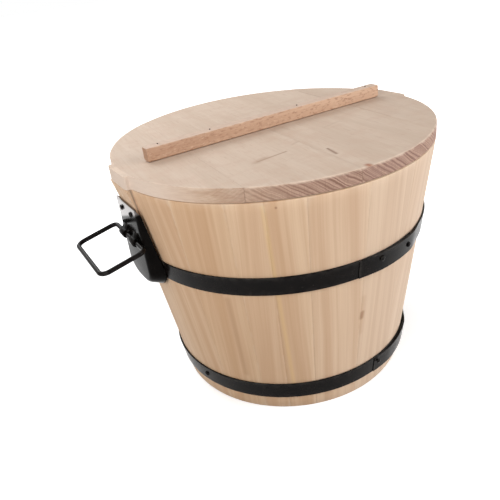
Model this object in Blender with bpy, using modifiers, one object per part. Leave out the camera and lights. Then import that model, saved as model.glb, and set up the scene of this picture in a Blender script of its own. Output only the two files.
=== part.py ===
"""Wooden rice tub: staves in two iron hoops, a bottom in a groove, a flat lid and two bail handles.

Units are metres and +Z is up. X runs through the two handles. The origin is the centre of the
bottom's underside, so the staves' feet stand FOOT_HEIGHT lower. Heights in this file are counted
from the feet, and the empty named tub_frame lowers everything by FOOT_HEIGHT.
"""
import math

import bmesh
import bpy
from mathutils import Matrix, Vector

# Clearances, and how far saws and planes reach past the wood
GAP = 0.0003
PIN_CLEARANCE = 0.0003
CUT_MARGIN = 0.0200

# The wall, a cone that opens upwards
WALL_HEIGHT = 0.1527
RIM_RADIUS = 0.100
FOOT_RADIUS = 0.078
WALL_THICK = 0.010
RIM_ROUND = 0.0010

# The groove for the bottom, and the bottom, whose seams are shares of its radius
FOOT_HEIGHT = 0.012
BOTTOM_THICK = 0.008
GROOVE_DEPTH = 0.0035
BOTTOM_SEAMS = (-0.33, 0.36)
BOTTOM_FACETS = 60
BOTTOM_ROUND = 0.0008
BOTTOM_RIM_RISE = 0.0014
BOTTOM_FACE_INSET = 0.0008

# Staves from one handle round to the other, as angles in degrees, and the two handle staves
HANDLE_STAVE_TURN = 15.8
STAVE_TURNS = (17.4, 18.5, 11.3, 12.2, 19.9, 19.6, 16.5, 16.0, 16.5, 16.3)
FACET_TURN = 4.0

# The block left proud on a handle stave, planed upright behind the plate and leaning above it
PAD_PROUD_AT_RIM = 0.0024
PAD_PROUD_AT_PLATE = 0.0013
PAD_RUNOUT = 0.0040
PAD_ROUGH = 0.0068

# Hoops: flat iron bands that lap over their own end
HOOP_THICK = 0.0010
HOOP_WIDTH = 0.0120
UPPER_HOOP_MID = 0.1010
PIVOT_HEIGHT = UPPER_HOOP_MID + 0.0195
LOWER_HOOP_MID = 0.0169
LAP_LENGTH = 0.042
LAP_RAMP = 0.016
UPPER_LAP_AT = -95.7
LOWER_LAP_AT = -82.8
HOOP_FACET_TURN = 4.0

# The block on the handle stave ends just above the upper hoop, under the plate
PAD_FOOT = UPPER_HOOP_MID + 0.0110

# Hoop nails: each one's angle in degrees, and its height above its hoop's middle
UPPER_NAILS = ((-86.6, 0.0024), (-71.6, 0.0), (93.4, 0.0012), (108.4, 0.0))
LOWER_NAILS = ((-80.9, 0.0028), (-166.2, 0.0), (99.1, 0.0012), (13.8, 0.0))
NAIL_HEAD_RADIUS = 0.0017
NAIL_HEAD_RISE = 0.0009
NAIL_SHANK_RADIUS = 0.0007
NAIL_LENGTH = 0.0080
DRILL_START = 0.0030

# The dome of every nail head, as shares of its radius and rise, and where its point begins
NAIL_DOME = ((0.55, 0.82), (0.90, 0.42))
NAIL_POINT_FROM = 0.8

# Lid: its seams are shares of its radius
LID_OVERHANG = 0.0
LID_THICK = 0.008
LID_ROUND = 0.0006
LID_SEAMS = (-0.58, -0.03, 0.62)
LID_BOARD_TURN = -4.2
LID_FACETS = 96
TAB_HALF = 0.0138
TAB_INSIDE = 0.0080

# The bar on the lid, between its two ends, and its nails' places as shares of the whole bar
BAR_ENDS = (-0.0830, 0.0870)
BAR_WIDTH = 0.0075
BAR_HEIGHT = 0.0082
BAR_ROUND = 0.0005
BAR_NAIL_SHARES = (0.049, 0.247, 0.617, 0.950)
BAR_NAIL_RADIUS = 0.0005
BAR_NAIL_HEAD_RADIUS = 0.0010
BAR_NAIL_HEAD_RISE = 0.0003

# Handle plate: a shallow pressed shell, open at its top, whose turned-back edge nearly meets the wall
PLATE_THICK = 0.0012
PLATE_TOP = PIVOT_HEIGHT + 0.0210
PLATE_TOP_HALF = 0.0152
SHOULDER_HEIGHT = PIVOT_HEIGHT + 0.0100
SHOULDER_HALF = 0.0172
LOBE_HEIGHT = UPPER_HOOP_MID
LOBE_HALF = 0.0192
PLATE_FOOT = UPPER_HOOP_MID - 0.0150
PLATE_BEND = 0.0030
BEND_AT_TOP = 0.15
SIDE_DRAFT = 0.0010
FOOT_DRAFT = 0.0055
SIDE_CORNER = 0.5
BEND_SHARE = 0.35
EDGE_CLEARANCE = 0.0006
SHOULDER_STEPS = 3
SIDE_STEPS = 4
FOOT_STEPS = 8
BEND_STEPS = 4
PLATE_NAILS = ((-0.0075, PLATE_TOP - 0.0050), (0.0075, PLATE_TOP - 0.0050), (0.0, PIVOT_HEIGHT - 0.0055))

# Two straps on the plate, from and to these distances from its middle, hold the bail's wire
STRAP_REACH = (0.0045, 0.0115)
STRAP_THICK = 0.0010
STRAP_WIDTH = 0.0105
STRAP_SINK = 0.0006
STRAP_SHELF = 0.0005
STRAP_STEPS = 8

# Bail: a closed ring of wire that hinges under the strap
WIRE_RADIUS = 0.0014
BAIL_HALF = 0.0250
BAIL_REACH = 0.0268
BAIL_BEND = 0.0035
BAIL_TOP_BEND = 0.0050
LEFT_BAIL_ANGLE = -11.5
RIGHT_BAIL_ANGLE = -90.0
BAIL_BEND_STEPS = 4

# Colours are linear values
PALE_WOOD = (0.62, 0.44, 0.29)
LID_WOOD = (0.55, 0.41, 0.30)
BAR_WOOD = (0.56, 0.36, 0.24)
BLACK_IRON = (0.016, 0.015, 0.014)


def clear_scene():
    for item in list(bpy.data.objects):
        bpy.data.objects.remove(item, do_unlink=True)


def new_collection(name):
    collection = bpy.data.collections.new(name)
    bpy.context.scene.collection.children.link(collection)
    return collection


def make_material(name, colour, roughness, metallic):
    material = bpy.data.materials.new(name)
    material.use_nodes = True
    shader = material.node_tree.nodes["Principled BSDF"]
    shader.inputs["Base Color"].default_value = (*colour, 1.0)
    shader.inputs["Roughness"].default_value = roughness
    shader.inputs["Metallic"].default_value = metallic
    return material


clear_scene()
TUB = new_collection("rice_tub")
CUTTERS = new_collection("cutters")
FRAME = bpy.data.objects.new("tub_frame", None)
TUB.objects.link(FRAME)
FRAME.location = (0.0, 0.0, -FOOT_HEIGHT)


# Shared shapes

def wall_slope():
    return (RIM_RADIUS - FOOT_RADIUS) / WALL_HEIGHT


def outer_radius(height):
    return FOOT_RADIUS + wall_slope() * height


def inner_radius(height):
    return outer_radius(height) - WALL_THICK


def groove_radius():
    return inner_radius(FOOT_HEIGHT) + GROOVE_DEPTH


def pad_back():
    """Distance of the block's upright face, behind the plate, from the tub's axis."""
    return outer_radius(PLATE_TOP) + PAD_PROUD_AT_PLATE


def pad_crest():
    """Distance of the block's leaning face from the tub's axis at the rim."""
    return RIM_RADIUS + PAD_PROUD_AT_RIM


def on_axis_frame(turn_degrees):
    return Matrix.Rotation(math.radians(turn_degrees), 4, "Z")


def add_object(name, mesh, material, parent=FRAME):
    item = bpy.data.objects.new(name, mesh)
    TUB.objects.link(item)
    item.parent = parent
    mesh.materials.clear()
    mesh.materials.append(material)
    return item


def add_cutter(name, mesh):
    item = bpy.data.objects.new(name, mesh)
    CUTTERS.objects.link(item)
    item.hide_render = True
    item.display_type = "WIRE"
    item.parent = FRAME
    return item


def mesh_from(bm, name, smooth_below=None):
    mesh = bpy.data.meshes.new(name)
    bm.normal_update()
    bmesh.ops.recalc_face_normals(bm, faces=bm.faces[:])
    bm.to_mesh(mesh)
    bm.free()
    if smooth_below is not None:
        mesh.shade_smooth()
        mesh.set_sharp_from_angle(angle=math.radians(smooth_below))
    return mesh


def spun_mesh(name, profile, start_degrees, turn_degrees, steps):
    """A closed profile of (radius, height) points, spun about the tub's axis with flat ends."""
    bm = bmesh.new()
    start = on_axis_frame(start_degrees)
    corners = [bm.verts.new(start @ Vector((radius, 0.0, height))) for radius, height in profile]
    face = bm.faces.new(corners)
    bmesh.ops.spin(
        bm,
        geom=[face, *face.edges, *face.verts],
        cent=(0.0, 0.0, 0.0),
        axis=(0.0, 0.0, 1.0),
        angle=math.radians(turn_degrees),
        steps=steps,
        use_duplicate=False,
    )
    return mesh_from(bm, name, 30.0)


def turned_mesh(name, profile, steps):
    """A solid of revolution: an open profile from the axis round to the axis again, with a Screw."""
    mesh = bpy.data.meshes.new(name + "_profile")
    points = [(radius, 0.0, height) for radius, height in profile]
    mesh.from_pydata(points, [(i, i + 1) for i in range(len(points) - 1)], [])
    blank = bpy.data.objects.new(name + "_profile", mesh)
    CUTTERS.objects.link(blank)
    screw = blank.modifiers.new("turn", "SCREW")
    screw.steps = steps
    screw.render_steps = steps
    screw.use_merge_vertices = True
    screw.merge_threshold = 0.00001
    screw.use_smooth_shade = True
    turned = evaluated_mesh(blank, name)
    bpy.data.objects.remove(blank, do_unlink=True)
    return turned


def evaluated_mesh(item, name):
    bpy.context.view_layer.update()
    graph = bpy.context.evaluated_depsgraph_get()
    mesh = bpy.data.meshes.new_from_object(item.evaluated_get(graph))
    mesh.name = name
    bm = bmesh.new()
    bm.from_mesh(mesh)
    bmesh.ops.remove_doubles(bm, verts=bm.verts[:], dist=0.000005)
    bm.normal_update()
    bmesh.ops.recalc_face_normals(bm, faces=bm.faces[:])
    bm.to_mesh(mesh)
    bm.free()
    return mesh


def box_mesh(name, low, high):
    bm = bmesh.new()
    bmesh.ops.create_cube(bm, size=1.0)
    size = Vector(high) - Vector(low)
    middle = (Vector(high) + Vector(low)) / 2.0
    bmesh.ops.scale(bm, vec=size, verts=bm.verts[:])
    bmesh.ops.translate(bm, vec=middle, verts=bm.verts[:])
    return mesh_from(bm, name)


def cut(item, cutter, operation="DIFFERENCE"):
    change = item.modifiers.new(cutter.name, "BOOLEAN")
    change.operation = operation
    change.solver = "EXACT"
    change.object = cutter


def soften(item, width):
    bevel = item.modifiers.new("softened_edges", "BEVEL")
    bevel.width = width
    bevel.segments = 1
    bevel.limit_method = "ANGLE"


def steps_for(turn_degrees, facet_degrees):
    return max(2, round(turn_degrees / facet_degrees))


# Staves

def wall_profile(rough=0.0):
    """The wall's section, clockwise from the outer foot; rough wood is left on for a pad."""
    low = FOOT_HEIGHT + BOTTOM_RIM_RISE - GAP
    high = FOOT_HEIGHT + BOTTOM_THICK + GAP
    outside = [(outer_radius(0.0) - RIM_ROUND, 0.0), (outer_radius(RIM_ROUND), RIM_ROUND)]
    if rough:
        outside.append((outer_radius(PAD_FOOT - PAD_RUNOUT), PAD_FOOT - PAD_RUNOUT))
        outside.append((outer_radius(PAD_FOOT) + rough, PAD_FOOT))
    crown = WALL_HEIGHT - RIM_ROUND
    outside.append((outer_radius(crown) + rough, crown))
    outside.append((outer_radius(WALL_HEIGHT) - RIM_ROUND + rough, WALL_HEIGHT))
    inside = [
        (inner_radius(WALL_HEIGHT) + RIM_ROUND, WALL_HEIGHT),
        (inner_radius(crown), crown),
        (inner_radius(high), high),
        (groove_radius(), high),
        (groove_radius(), low),
        (inner_radius(low), low),
        (inner_radius(0.0), 0.0),
    ]
    return outside + inside


def seam_turn():
    """Angle between two neighbouring staves."""
    return math.degrees(GAP / inner_radius(WALL_HEIGHT / 2.0))


def make_stave(name, start, turn, material):
    gap = seam_turn()
    steps = steps_for(turn, FACET_TURN)
    mesh = spun_mesh(name, wall_profile(), start + gap / 2.0, turn - gap, steps)
    return add_object(name, mesh, material)


def prism_mesh(name, side_view, half):
    """A closed outline of (x, z) points, pushed out along y to both sides."""
    bm = bmesh.new()
    face = bm.faces.new([bm.verts.new((x, -half, z)) for x, z in side_view])
    pushed = bmesh.ops.extrude_face_region(bm, geom=[face], use_keep_orig=True)["geom"]
    moved = [item for item in pushed if isinstance(item, bmesh.types.BMVert)]
    bmesh.ops.translate(bm, vec=(0.0, 2.0 * half, 0.0), verts=moved)
    return mesh_from(bm, name)


def make_handle_stave(name, facing, material):
    """A stave left thick above the block's foot, then planed upright, and leaning from the plate up."""
    gap = seam_turn()
    turn = HANDLE_STAVE_TURN - gap
    steps = steps_for(turn, FACET_TURN)
    mesh = spun_mesh(name, wall_profile(PAD_ROUGH), -turn / 2.0, turn, steps)
    item = add_object(name, mesh, material)
    item.rotation_euler.z = math.radians(facing)
    lean = (pad_crest() - pad_back()) / (WALL_HEIGHT - PLATE_TOP)
    over = WALL_HEIGHT + RIM_ROUND
    far = RIM_RADIUS + CUT_MARGIN
    side_view = [
        (pad_back(), 0.0),
        (pad_back(), PLATE_TOP),
        (pad_crest() + lean * RIM_ROUND, over),
        (far, over),
        (far, 0.0),
    ]
    plane = add_cutter(name + "_plane", prism_mesh(name + "_plane", side_view, RIM_RADIUS))
    plane.rotation_euler.z = math.radians(facing)
    cut(item, plane)
    return item


def stave_layout():
    """Each plain stave's start and turn, in degrees, once round the tub."""
    rows = []
    for facing in (180.0, 0.0):
        start = facing + HANDLE_STAVE_TURN / 2.0
        free = 180.0 - HANDLE_STAVE_TURN
        share = free / sum(STAVE_TURNS)
        for turn in STAVE_TURNS:
            rows.append((start, turn * share))
            start += turn * share
    return rows


def make_staves(material):
    staves = []
    for number, (start, turn) in enumerate(stave_layout(), 1):
        item = make_stave(f"stave_{number:02d}", start, turn, material)
        staves.append((start, turn, item))
    for name, facing in (("handle_stave_left", 180.0), ("handle_stave_right", 0.0)):
        item = make_handle_stave(name, facing, material)
        staves.append((facing - HANDLE_STAVE_TURN / 2.0, HANDLE_STAVE_TURN, item))
    return staves


def stave_at(staves, angle):
    for start, turn, item in staves:
        if (angle - start) % 360.0 <= turn:
            return item
    raise ValueError("no stave there")


# Boards that are sawn from one disc

def board_edges(seams, reach):
    edges = [-reach, *seams, reach]
    return [(low + GAP / 2.0, high - GAP / 2.0) for low, high in zip(edges, edges[1:])]


def make_boards(name, profile, seams, turn, facets, material, parent, tab=None):
    """Boards between saw lines; a tab, if given, is joined to the disc before it is sawn."""
    disc = turned_mesh(name, profile, facets)
    reach = max(radius for radius, height in profile) + CUT_MARGIN
    base = min(height for radius, height in profile) - GAP
    top = max(height for radius, height in profile) + GAP
    boards = []
    for number, (low, high) in enumerate(board_edges(seams, reach), 1):
        item = add_object(f"{name}_{number}", disc.copy(), material, parent)
        saw = add_cutter(f"{name}_saw_{number}", box_mesh("saw", (low, -reach, base), (high, reach, top)))
        saw.rotation_euler.z = math.radians(turn)
        saw.parent = parent
        if tab:
            cut(item, tab, "UNION")
        cut(item, saw, "INTERSECT")
        boards.append(item)
    return boards


def disc_profile(radius, low, high, rounding):
    return [
        (0.0, high),
        (radius - rounding, high),
        (radius, high - rounding),
        (radius, low + rounding),
        (radius - rounding, low),
        (0.0, low),
    ]


def make_bottom(material):
    """The underside is shaved up to a thinner rim, so its flat face lies clear of the wall."""
    radius = groove_radius() - GAP
    face_radius = inner_radius(0.0) - BOTTOM_FACE_INSET
    top = FOOT_HEIGHT + BOTTOM_THICK
    profile = [
        (0.0, top),
        (radius - BOTTOM_ROUND, top),
        (radius, top - BOTTOM_ROUND),
        (radius, FOOT_HEIGHT + BOTTOM_RIM_RISE),
        (inner_radius(FOOT_HEIGHT) - GAP, FOOT_HEIGHT + BOTTOM_RIM_RISE),
        (face_radius, FOOT_HEIGHT),
        (0.0, FOOT_HEIGHT),
    ]
    seams = [share * radius for share in BOTTOM_SEAMS]
    return make_boards("bottom_board", profile, seams, 0.0, BOTTOM_FACETS, material, FRAME)


# Hoops

def lap_lift(travel):
    """Extra lift of the band's outer end, over the lap and then down a ramp."""
    lift = HOOP_THICK + GAP
    if travel <= LAP_LENGTH:
        return lift
    share = min(1.0, (travel - LAP_LENGTH) / LAP_RAMP)
    return lift * (1.0 - share * share * (3.0 - 2.0 * share))


def hoop_inner_radius(height, travel):
    return outer_radius(height) + GAP + lap_lift(travel)


def make_hoop(name, middle, lap_at, material):
    """An open strip that follows the wall once round and then runs under its own start."""
    radius = outer_radius(middle)
    start = math.radians(lap_at)
    total = 2.0 * math.pi + LAP_LENGTH / radius
    bm = bmesh.new()
    lower = []
    low, high = middle - HOOP_WIDTH / 2.0, middle + HOOP_WIDTH / 2.0
    marks = []
    steps = round(math.degrees(total) / HOOP_FACET_TURN)
    for step in range(steps + 1):
        angle = start + total * step / steps
        travel = (angle - start) * radius
        marks.append((angle, travel))
        inner = hoop_inner_radius(low, travel)
        lower.append(bm.verts.new((inner * math.cos(angle), inner * math.sin(angle), low)))
    edges = [bm.edges.new(pair) for pair in zip(lower, lower[1:])]
    raised = bmesh.ops.extrude_edge_only(bm, edges=edges)["geom"]
    for vert in (item for item in raised if isinstance(item, bmesh.types.BMVert)):
        source = next(edge.other_vert(vert) for edge in vert.link_edges if edge.other_vert(vert) in lower)
        angle, travel = marks[lower.index(source)]
        inner = hoop_inner_radius(high, travel)
        vert.co = Vector((inner * math.cos(angle), inner * math.sin(angle), high))
    bm.normal_update()
    bm.faces.ensure_lookup_table()
    first = bm.faces[0]
    centre = first.calc_center_median()
    if first.normal.dot(Vector((centre.x, centre.y, 0.0))) < 0.0:
        bmesh.ops.reverse_faces(bm, faces=bm.faces[:])
    mesh = bpy.data.meshes.new(name)
    bm.to_mesh(mesh)
    bm.free()
    mesh.shade_smooth()
    item = add_object(name, mesh, material)
    shell = item.modifiers.new("iron_thickness", "SOLIDIFY")
    shell.thickness = HOOP_THICK
    shell.offset = 1.0
    shell.use_even_offset = True
    return item


# Nails

def nail_mesh(name, head_radius, head_rise, shank_radius, length, facets=8):
    """A domed nail along +X: the head's underside is at x = 0 and the point is behind it."""
    dome = [(head_radius * out, head_rise * up) for out, up in NAIL_DOME]
    shank = [(shank_radius, 0.0), (shank_radius, -length * NAIL_POINT_FROM), (0.0, -length)]
    profile = [(0.0, head_rise), *dome, (head_radius, 0.0), *shank]
    mesh = turned_mesh(name, profile, facets)
    mesh.transform(Matrix.Rotation(math.radians(90.0), 4, "Y"))
    return mesh


def set_nail(name, seat, direction, material):
    """A nail whose head rests at seat and looks along direction."""
    mesh = nail_mesh(name, NAIL_HEAD_RADIUS, NAIL_HEAD_RISE, NAIL_SHANK_RADIUS, NAIL_LENGTH)
    turn = Vector((1.0, 0.0, 0.0)).rotation_difference(direction).to_matrix().to_4x4()
    mesh.transform(Matrix.Translation(seat) @ turn)
    return add_object(name, mesh, material)


def drill(item, name, place, direction):
    """A round hole for a nail into item, from just above place and against direction."""
    radius = NAIL_SHANK_RADIUS + PIN_CLEARANCE
    depth = NAIL_LENGTH + GAP + DRILL_START
    bm = bmesh.new()
    bmesh.ops.create_cone(bm, cap_ends=True, segments=10, radius1=radius, radius2=radius, depth=depth)
    turn = Vector((0.0, 0.0, 1.0)).rotation_difference(direction).to_matrix().to_4x4()
    centre = place - direction * (depth / 2.0 - DRILL_START)
    bm.transform(Matrix.Translation(centre) @ turn)
    cutter = add_cutter(name, mesh_from(bm, name))
    cut(item, cutter)


def wall_normal(angle):
    """Outward normal of the wall at an angle in degrees."""
    lean = math.atan(wall_slope())
    flat = Vector((math.cos(math.radians(angle)), math.sin(math.radians(angle)), 0.0))
    return (flat * math.cos(lean) - Vector((0.0, 0.0, 1.0)) * math.sin(lean)).normalized()


def make_hoop_nails(name, hoop, staves, middle, lap_at, places, material):
    for number, (angle, rise) in enumerate(places, 1):
        height = middle + rise
        travel = math.radians((angle - lap_at) % 360.0) * outer_radius(middle)
        inner = hoop_inner_radius(height, travel)
        flat = Vector((math.cos(math.radians(angle)), math.sin(math.radians(angle)), 0.0))
        normal = wall_normal(angle)
        seat = flat * inner + Vector((0.0, 0.0, height)) + normal * (HOOP_THICK + GAP)
        set_nail(f"{name}_{number}", seat, normal, material)
        drill(hoop, f"{name}_hole_{number}", seat, normal)
        drill(stave_at(staves, angle), f"{name}_bore_{number}", seat, normal)


# Handles, modelled on the +X side and then turned to face their own way

def plate_frame():
    """Local x across the plate, y up it and z out of it, from the pivot's height on the plate's back."""
    across, up, out = Vector((0.0, 1.0, 0.0)), Vector((0.0, 0.0, 1.0)), Vector((1.0, 0.0, 0.0))
    frame = Matrix((across, up, out)).transposed().to_4x4()
    return Matrix.Translation((pad_back() + GAP, 0.0, PIVOT_HEIGHT)) @ frame


def up_plate(height):
    return height - PIVOT_HEIGHT


def plate_rim():
    """Right half of the plate's outline from its top corner to its foot, as across and height."""
    points = [Vector((PLATE_TOP_HALF, PLATE_TOP))]
    for step in range(1, SHOULDER_STEPS + 1):
        share = step / SHOULDER_STEPS
        across = PLATE_TOP_HALF + (SHOULDER_HALF - PLATE_TOP_HALF) * math.sin(share * math.pi / 2.0)
        points.append(Vector((across, PLATE_TOP + (SHOULDER_HEIGHT - PLATE_TOP) * share)))
    shoulder, lobe = points[-1], Vector((LOBE_HALF, LOBE_HEIGHT))
    for step in range(1, SIDE_STEPS + 1):
        points.append(shoulder.lerp(lobe, step / SIDE_STEPS))
    for step in range(1, FOOT_STEPS + 1):
        turn = math.pi / 2.0 * step / FOOT_STEPS
        down = (LOBE_HEIGHT - PLATE_FOOT) * math.sin(turn)
        points.append(Vector((LOBE_HALF * math.cos(turn), LOBE_HEIGHT - down)))
    return points


def rim_distance(across, height):
    """Distance from the tub's axis plane to the plate's turned-back edge, which clears the hoop."""
    clear = outer_radius(height) + GAP + HOOP_THICK + EDGE_CLEARANCE
    return math.sqrt(clear * clear - across * across)


def plate_sections():
    """For each point of the rim: the plate's section from its flat front back to the edge."""
    front = pad_back() + GAP + PLATE_THICK
    sections = []
    for point in plate_rim():
        below = min(1.0, max(0.0, (SHOULDER_HEIGHT - point.y) / (SHOULDER_HEIGHT - LOBE_HEIGHT)))
        started = min(1.0, (PLATE_TOP - point.y) / (PLATE_TOP - SHOULDER_HEIGHT))
        foot = min(1.0, max(0.0, (LOBE_HEIGHT - point.y) / (LOBE_HEIGHT - PLATE_FOOT)))
        inward = Vector((-point.x, foot * (LOBE_HEIGHT - PLATE_FOOT))).normalized()
        draft = SIDE_DRAFT * started + (FOOT_DRAFT - SIDE_DRAFT) * foot
        bend = PLATE_BEND * (BEND_AT_TOP + (1.0 - BEND_AT_TOP) * started)
        corner = point + inward * draft * (SIDE_CORNER + (1.0 - SIDE_CORNER) * below)
        start = corner + inward * bend
        back = front - PLATE_THICK / 2.0 if started == 0.0 else rim_distance(point.x, point.y)
        edge = Vector((point.x, point.y, back))
        first, middle = Vector((*start, front)), Vector((*corner, front))
        after = middle.lerp(edge, BEND_SHARE)
        row = []
        for step in range(BEND_STEPS + 1):
            share = step / BEND_STEPS
            row.append(first.lerp(middle, share).lerp(middle.lerp(after, share), share))
        row.append(edge)
        sections.append(row)
    return sections


def plate_sheet(name):
    """The plate's outer face in the plate's own frame: a flat front and rings of turned-back edge."""
    right = plate_sections()
    left = [[Vector((-spot.x, spot.y, spot.z)) for spot in row] for row in reversed(right[:-1])]
    rows = right + left
    bm = bmesh.new()
    back = pad_back() + GAP
    grid = [[bm.verts.new((spot.x, up_plate(spot.y), spot.z - back)) for spot in row] for row in rows]
    bm.faces.new([row[0] for row in grid])
    for row, after in zip(grid, grid[1:]):
        for step in range(len(row) - 1):
            bm.faces.new((row[step], row[step + 1], after[step + 1], after[step]))
    return bm


def pivot_rise():
    """The wire's centre above the plate's back."""
    return PLATE_THICK + PIN_CLEARANCE + WIRE_RADIUS


def strap_section():
    """Side view of a strap pressed up over the wire: flat feet, a round back and a round tunnel."""
    tunnel = WIRE_RADIUS + PIN_CLEARANCE
    back = tunnel + STRAP_THICK
    rise = pivot_rise()
    foot = STRAP_WIDTH / 2.0
    sink = PLATE_THICK - STRAP_SINK
    shelf = PLATE_THICK + STRAP_SHELF
    arc = [math.pi * step / STRAP_STEPS for step in range(STRAP_STEPS + 1)]
    outer = [(back * math.cos(turn), rise + back * math.sin(turn)) for turn in reversed(arc)]
    inner = [(tunnel * math.cos(turn), rise + tunnel * math.sin(turn)) for turn in arc]
    left = [(-tunnel, sink), (-foot, sink), (-foot, shelf)]
    right = [(foot, shelf), (foot, sink), (tunnel, sink)]
    return left + outer + right + inner


def strap_mesh(name):
    """Both straps, one on each side of the plate's middle."""
    bm = bmesh.new()
    near, far = STRAP_REACH
    for start in (-far, near):
        section = [bm.verts.new((start, up, out)) for up, out in strap_section()]
        face = bm.faces.new(section)
        pushed = bmesh.ops.extrude_face_region(bm, geom=[face], use_keep_orig=True)["geom"]
        moved = [item for item in pushed if isinstance(item, bmesh.types.BMVert)]
        bmesh.ops.translate(bm, vec=(far - near, 0.0, 0.0), verts=moved)
    return mesh_from(bm, name)


def make_handle_plate(name, facing, material):
    mesh = mesh_from(plate_sheet(name), name, 32.0)
    if mesh.polygons[0].normal.z < 0.0:
        mesh.flip_normals()
    item = add_object(name, mesh, material)
    shell = item.modifiers.new("iron_thickness", "SOLIDIFY")
    shell.thickness = PLATE_THICK
    shell.offset = -1.0
    shell.use_even_offset = True
    strap = add_cutter(name + "_strap", strap_mesh(name + "_strap"))
    placed = on_axis_frame(facing) @ plate_frame()
    item.matrix_basis = placed
    strap.matrix_basis = placed
    cut(item, strap, "UNION")
    return item


def make_plate_nails(name, facing, plate, stave, material):
    placed = on_axis_frame(facing) @ plate_frame()
    out = (placed.to_3x3() @ Vector((0.0, 0.0, 1.0))).normalized()
    for number, (across, height) in enumerate(PLATE_NAILS, 1):
        seat = placed @ Vector((across, up_plate(height), PLATE_THICK + GAP))
        set_nail(f"{name}_{number}", seat, out, material)
        drill(plate, f"{name}_hole_{number}", seat, out)
        drill(stave, f"{name}_bore_{number}", seat, out)


def rounded_ring(corners, bends):
    """A closed polyline through corners, each corner replaced by an arc of its own bend radius."""
    points = []
    total = len(corners)
    for index in range(total):
        before, here, after = corners[index - 1], corners[index], corners[(index + 1) % total]
        bend = bends[index]
        into = (before - here).normalized()
        away = (after - here).normalized()
        half = into.angle(away) / 2.0
        reach = bend / math.tan(half)
        centre = here + (into + away).normalized() * (bend / math.sin(half))
        start, end = here + into * reach, here + away * reach
        for step in range(BAIL_BEND_STEPS + 1):
            spoke = start.lerp(end, step / BAIL_BEND_STEPS) - centre
            points.append(centre + spoke.normalized() * bend)
    return points


def pivot_place():
    """Centre of the wire in the tunnel, on the +X side."""
    return plate_frame() @ Vector((0.0, 0.0, pivot_rise()))


def make_bail(name, facing, angle, material):
    """A ring of round wire: the tunnel side lies on the hinge axis, which is local y."""
    pivot = bpy.data.objects.new(name + "_pivot", None)
    TUB.objects.link(pivot)
    pivot.parent = FRAME
    place = on_axis_frame(facing) @ Matrix.Translation(pivot_place())
    pivot.matrix_basis = place @ Matrix.Rotation(math.radians(-angle), 4, "Y")
    corners = [
        Vector((0.0, -BAIL_HALF, 0.0)),
        Vector((BAIL_REACH, -BAIL_HALF, 0.0)),
        Vector((BAIL_REACH, BAIL_HALF, 0.0)),
        Vector((0.0, BAIL_HALF, 0.0)),
    ]
    bends = (BAIL_BEND, BAIL_TOP_BEND, BAIL_TOP_BEND, BAIL_BEND)
    curve = bpy.data.curves.new(name, "CURVE")
    curve.dimensions = "3D"
    curve.bevel_depth = WIRE_RADIUS
    curve.bevel_resolution = 2
    spline = curve.splines.new("POLY")
    route = rounded_ring(corners, bends)
    spline.points.add(len(route) - 1)
    for point, spot in zip(spline.points, route):
        point.co = (*spot, 1.0)
    spline.use_cyclic_u = True
    blank = bpy.data.objects.new(name + "_route", curve)
    CUTTERS.objects.link(blank)
    mesh = evaluated_mesh(blank, name)
    bpy.data.objects.remove(blank, do_unlink=True)
    mesh.shade_smooth()
    return add_object(name, mesh, material, pivot)


# Lid

def set_bar_nail(name, bar, along, top, material, parent):
    """A small nail from the bar's top down to its underside."""
    length = BAR_HEIGHT
    mesh = nail_mesh(name, BAR_NAIL_HEAD_RADIUS, BAR_NAIL_HEAD_RISE, BAR_NAIL_RADIUS, length)
    mesh.transform(Matrix.Rotation(math.radians(-90.0), 4, "Y"))
    nail = add_object(name, mesh, material, parent)
    nail.location = (along, 0.0, top + GAP)
    bm = bmesh.new()
    hole = BAR_NAIL_RADIUS + PIN_CLEARANCE
    depth = 2.0 * (BAR_HEIGHT + GAP / 2.0)
    bmesh.ops.create_cone(bm, cap_ends=True, segments=10, radius1=hole, radius2=hole, depth=depth)
    cutter = add_cutter(name + "_bore", mesh_from(bm, name + "_bore"))
    cutter.parent = parent
    cutter.location = (along, 0.0, top)
    cut(bar, cutter)


def make_tabs(parent):
    """The lid's edge stands out over both handle staves, flush with their blocks."""
    bm = bmesh.new()
    start, end = RIM_RADIUS - TAB_INSIDE, pad_crest()
    for side in (-1.0, 1.0):
        cube = bmesh.ops.create_cube(bm, size=1.0)["verts"]
        bmesh.ops.scale(bm, vec=(end - start, TAB_HALF * 2.0, LID_THICK), verts=cube)
        bmesh.ops.translate(bm, vec=(side * (start + end) / 2.0, 0.0, LID_THICK / 2.0), verts=cube)
    tabs = add_cutter("lid_tabs", mesh_from(bm, "lid_tabs"))
    tabs.parent = parent
    return tabs


def make_lid(board_wood, bar_wood, iron):
    lift = bpy.data.objects.new("lid_frame", None)
    TUB.objects.link(lift)
    lift.parent = FRAME
    lift.location.z = WALL_HEIGHT + GAP
    radius = RIM_RADIUS + LID_OVERHANG
    profile = disc_profile(radius, 0.0, LID_THICK, LID_ROUND)
    seams = [share * radius for share in LID_SEAMS]
    tabs = make_tabs(lift)
    make_boards("lid_board", profile, seams, LID_BOARD_TURN, LID_FACETS, board_wood, lift, tabs)
    base = LID_THICK + GAP
    start, end = BAR_ENDS
    low = (start, -BAR_WIDTH / 2.0, base)
    high = (end, BAR_WIDTH / 2.0, base + BAR_HEIGHT)
    bar = add_object("lid_bar", box_mesh("lid_bar", low, high), bar_wood, lift)
    soften(bar, BAR_ROUND)
    for number, share in enumerate(BAR_NAIL_SHARES, 1):
        set_bar_nail(f"bar_nail_{number}", bar, start + (end - start) * share, high[2], iron, lift)


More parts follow.
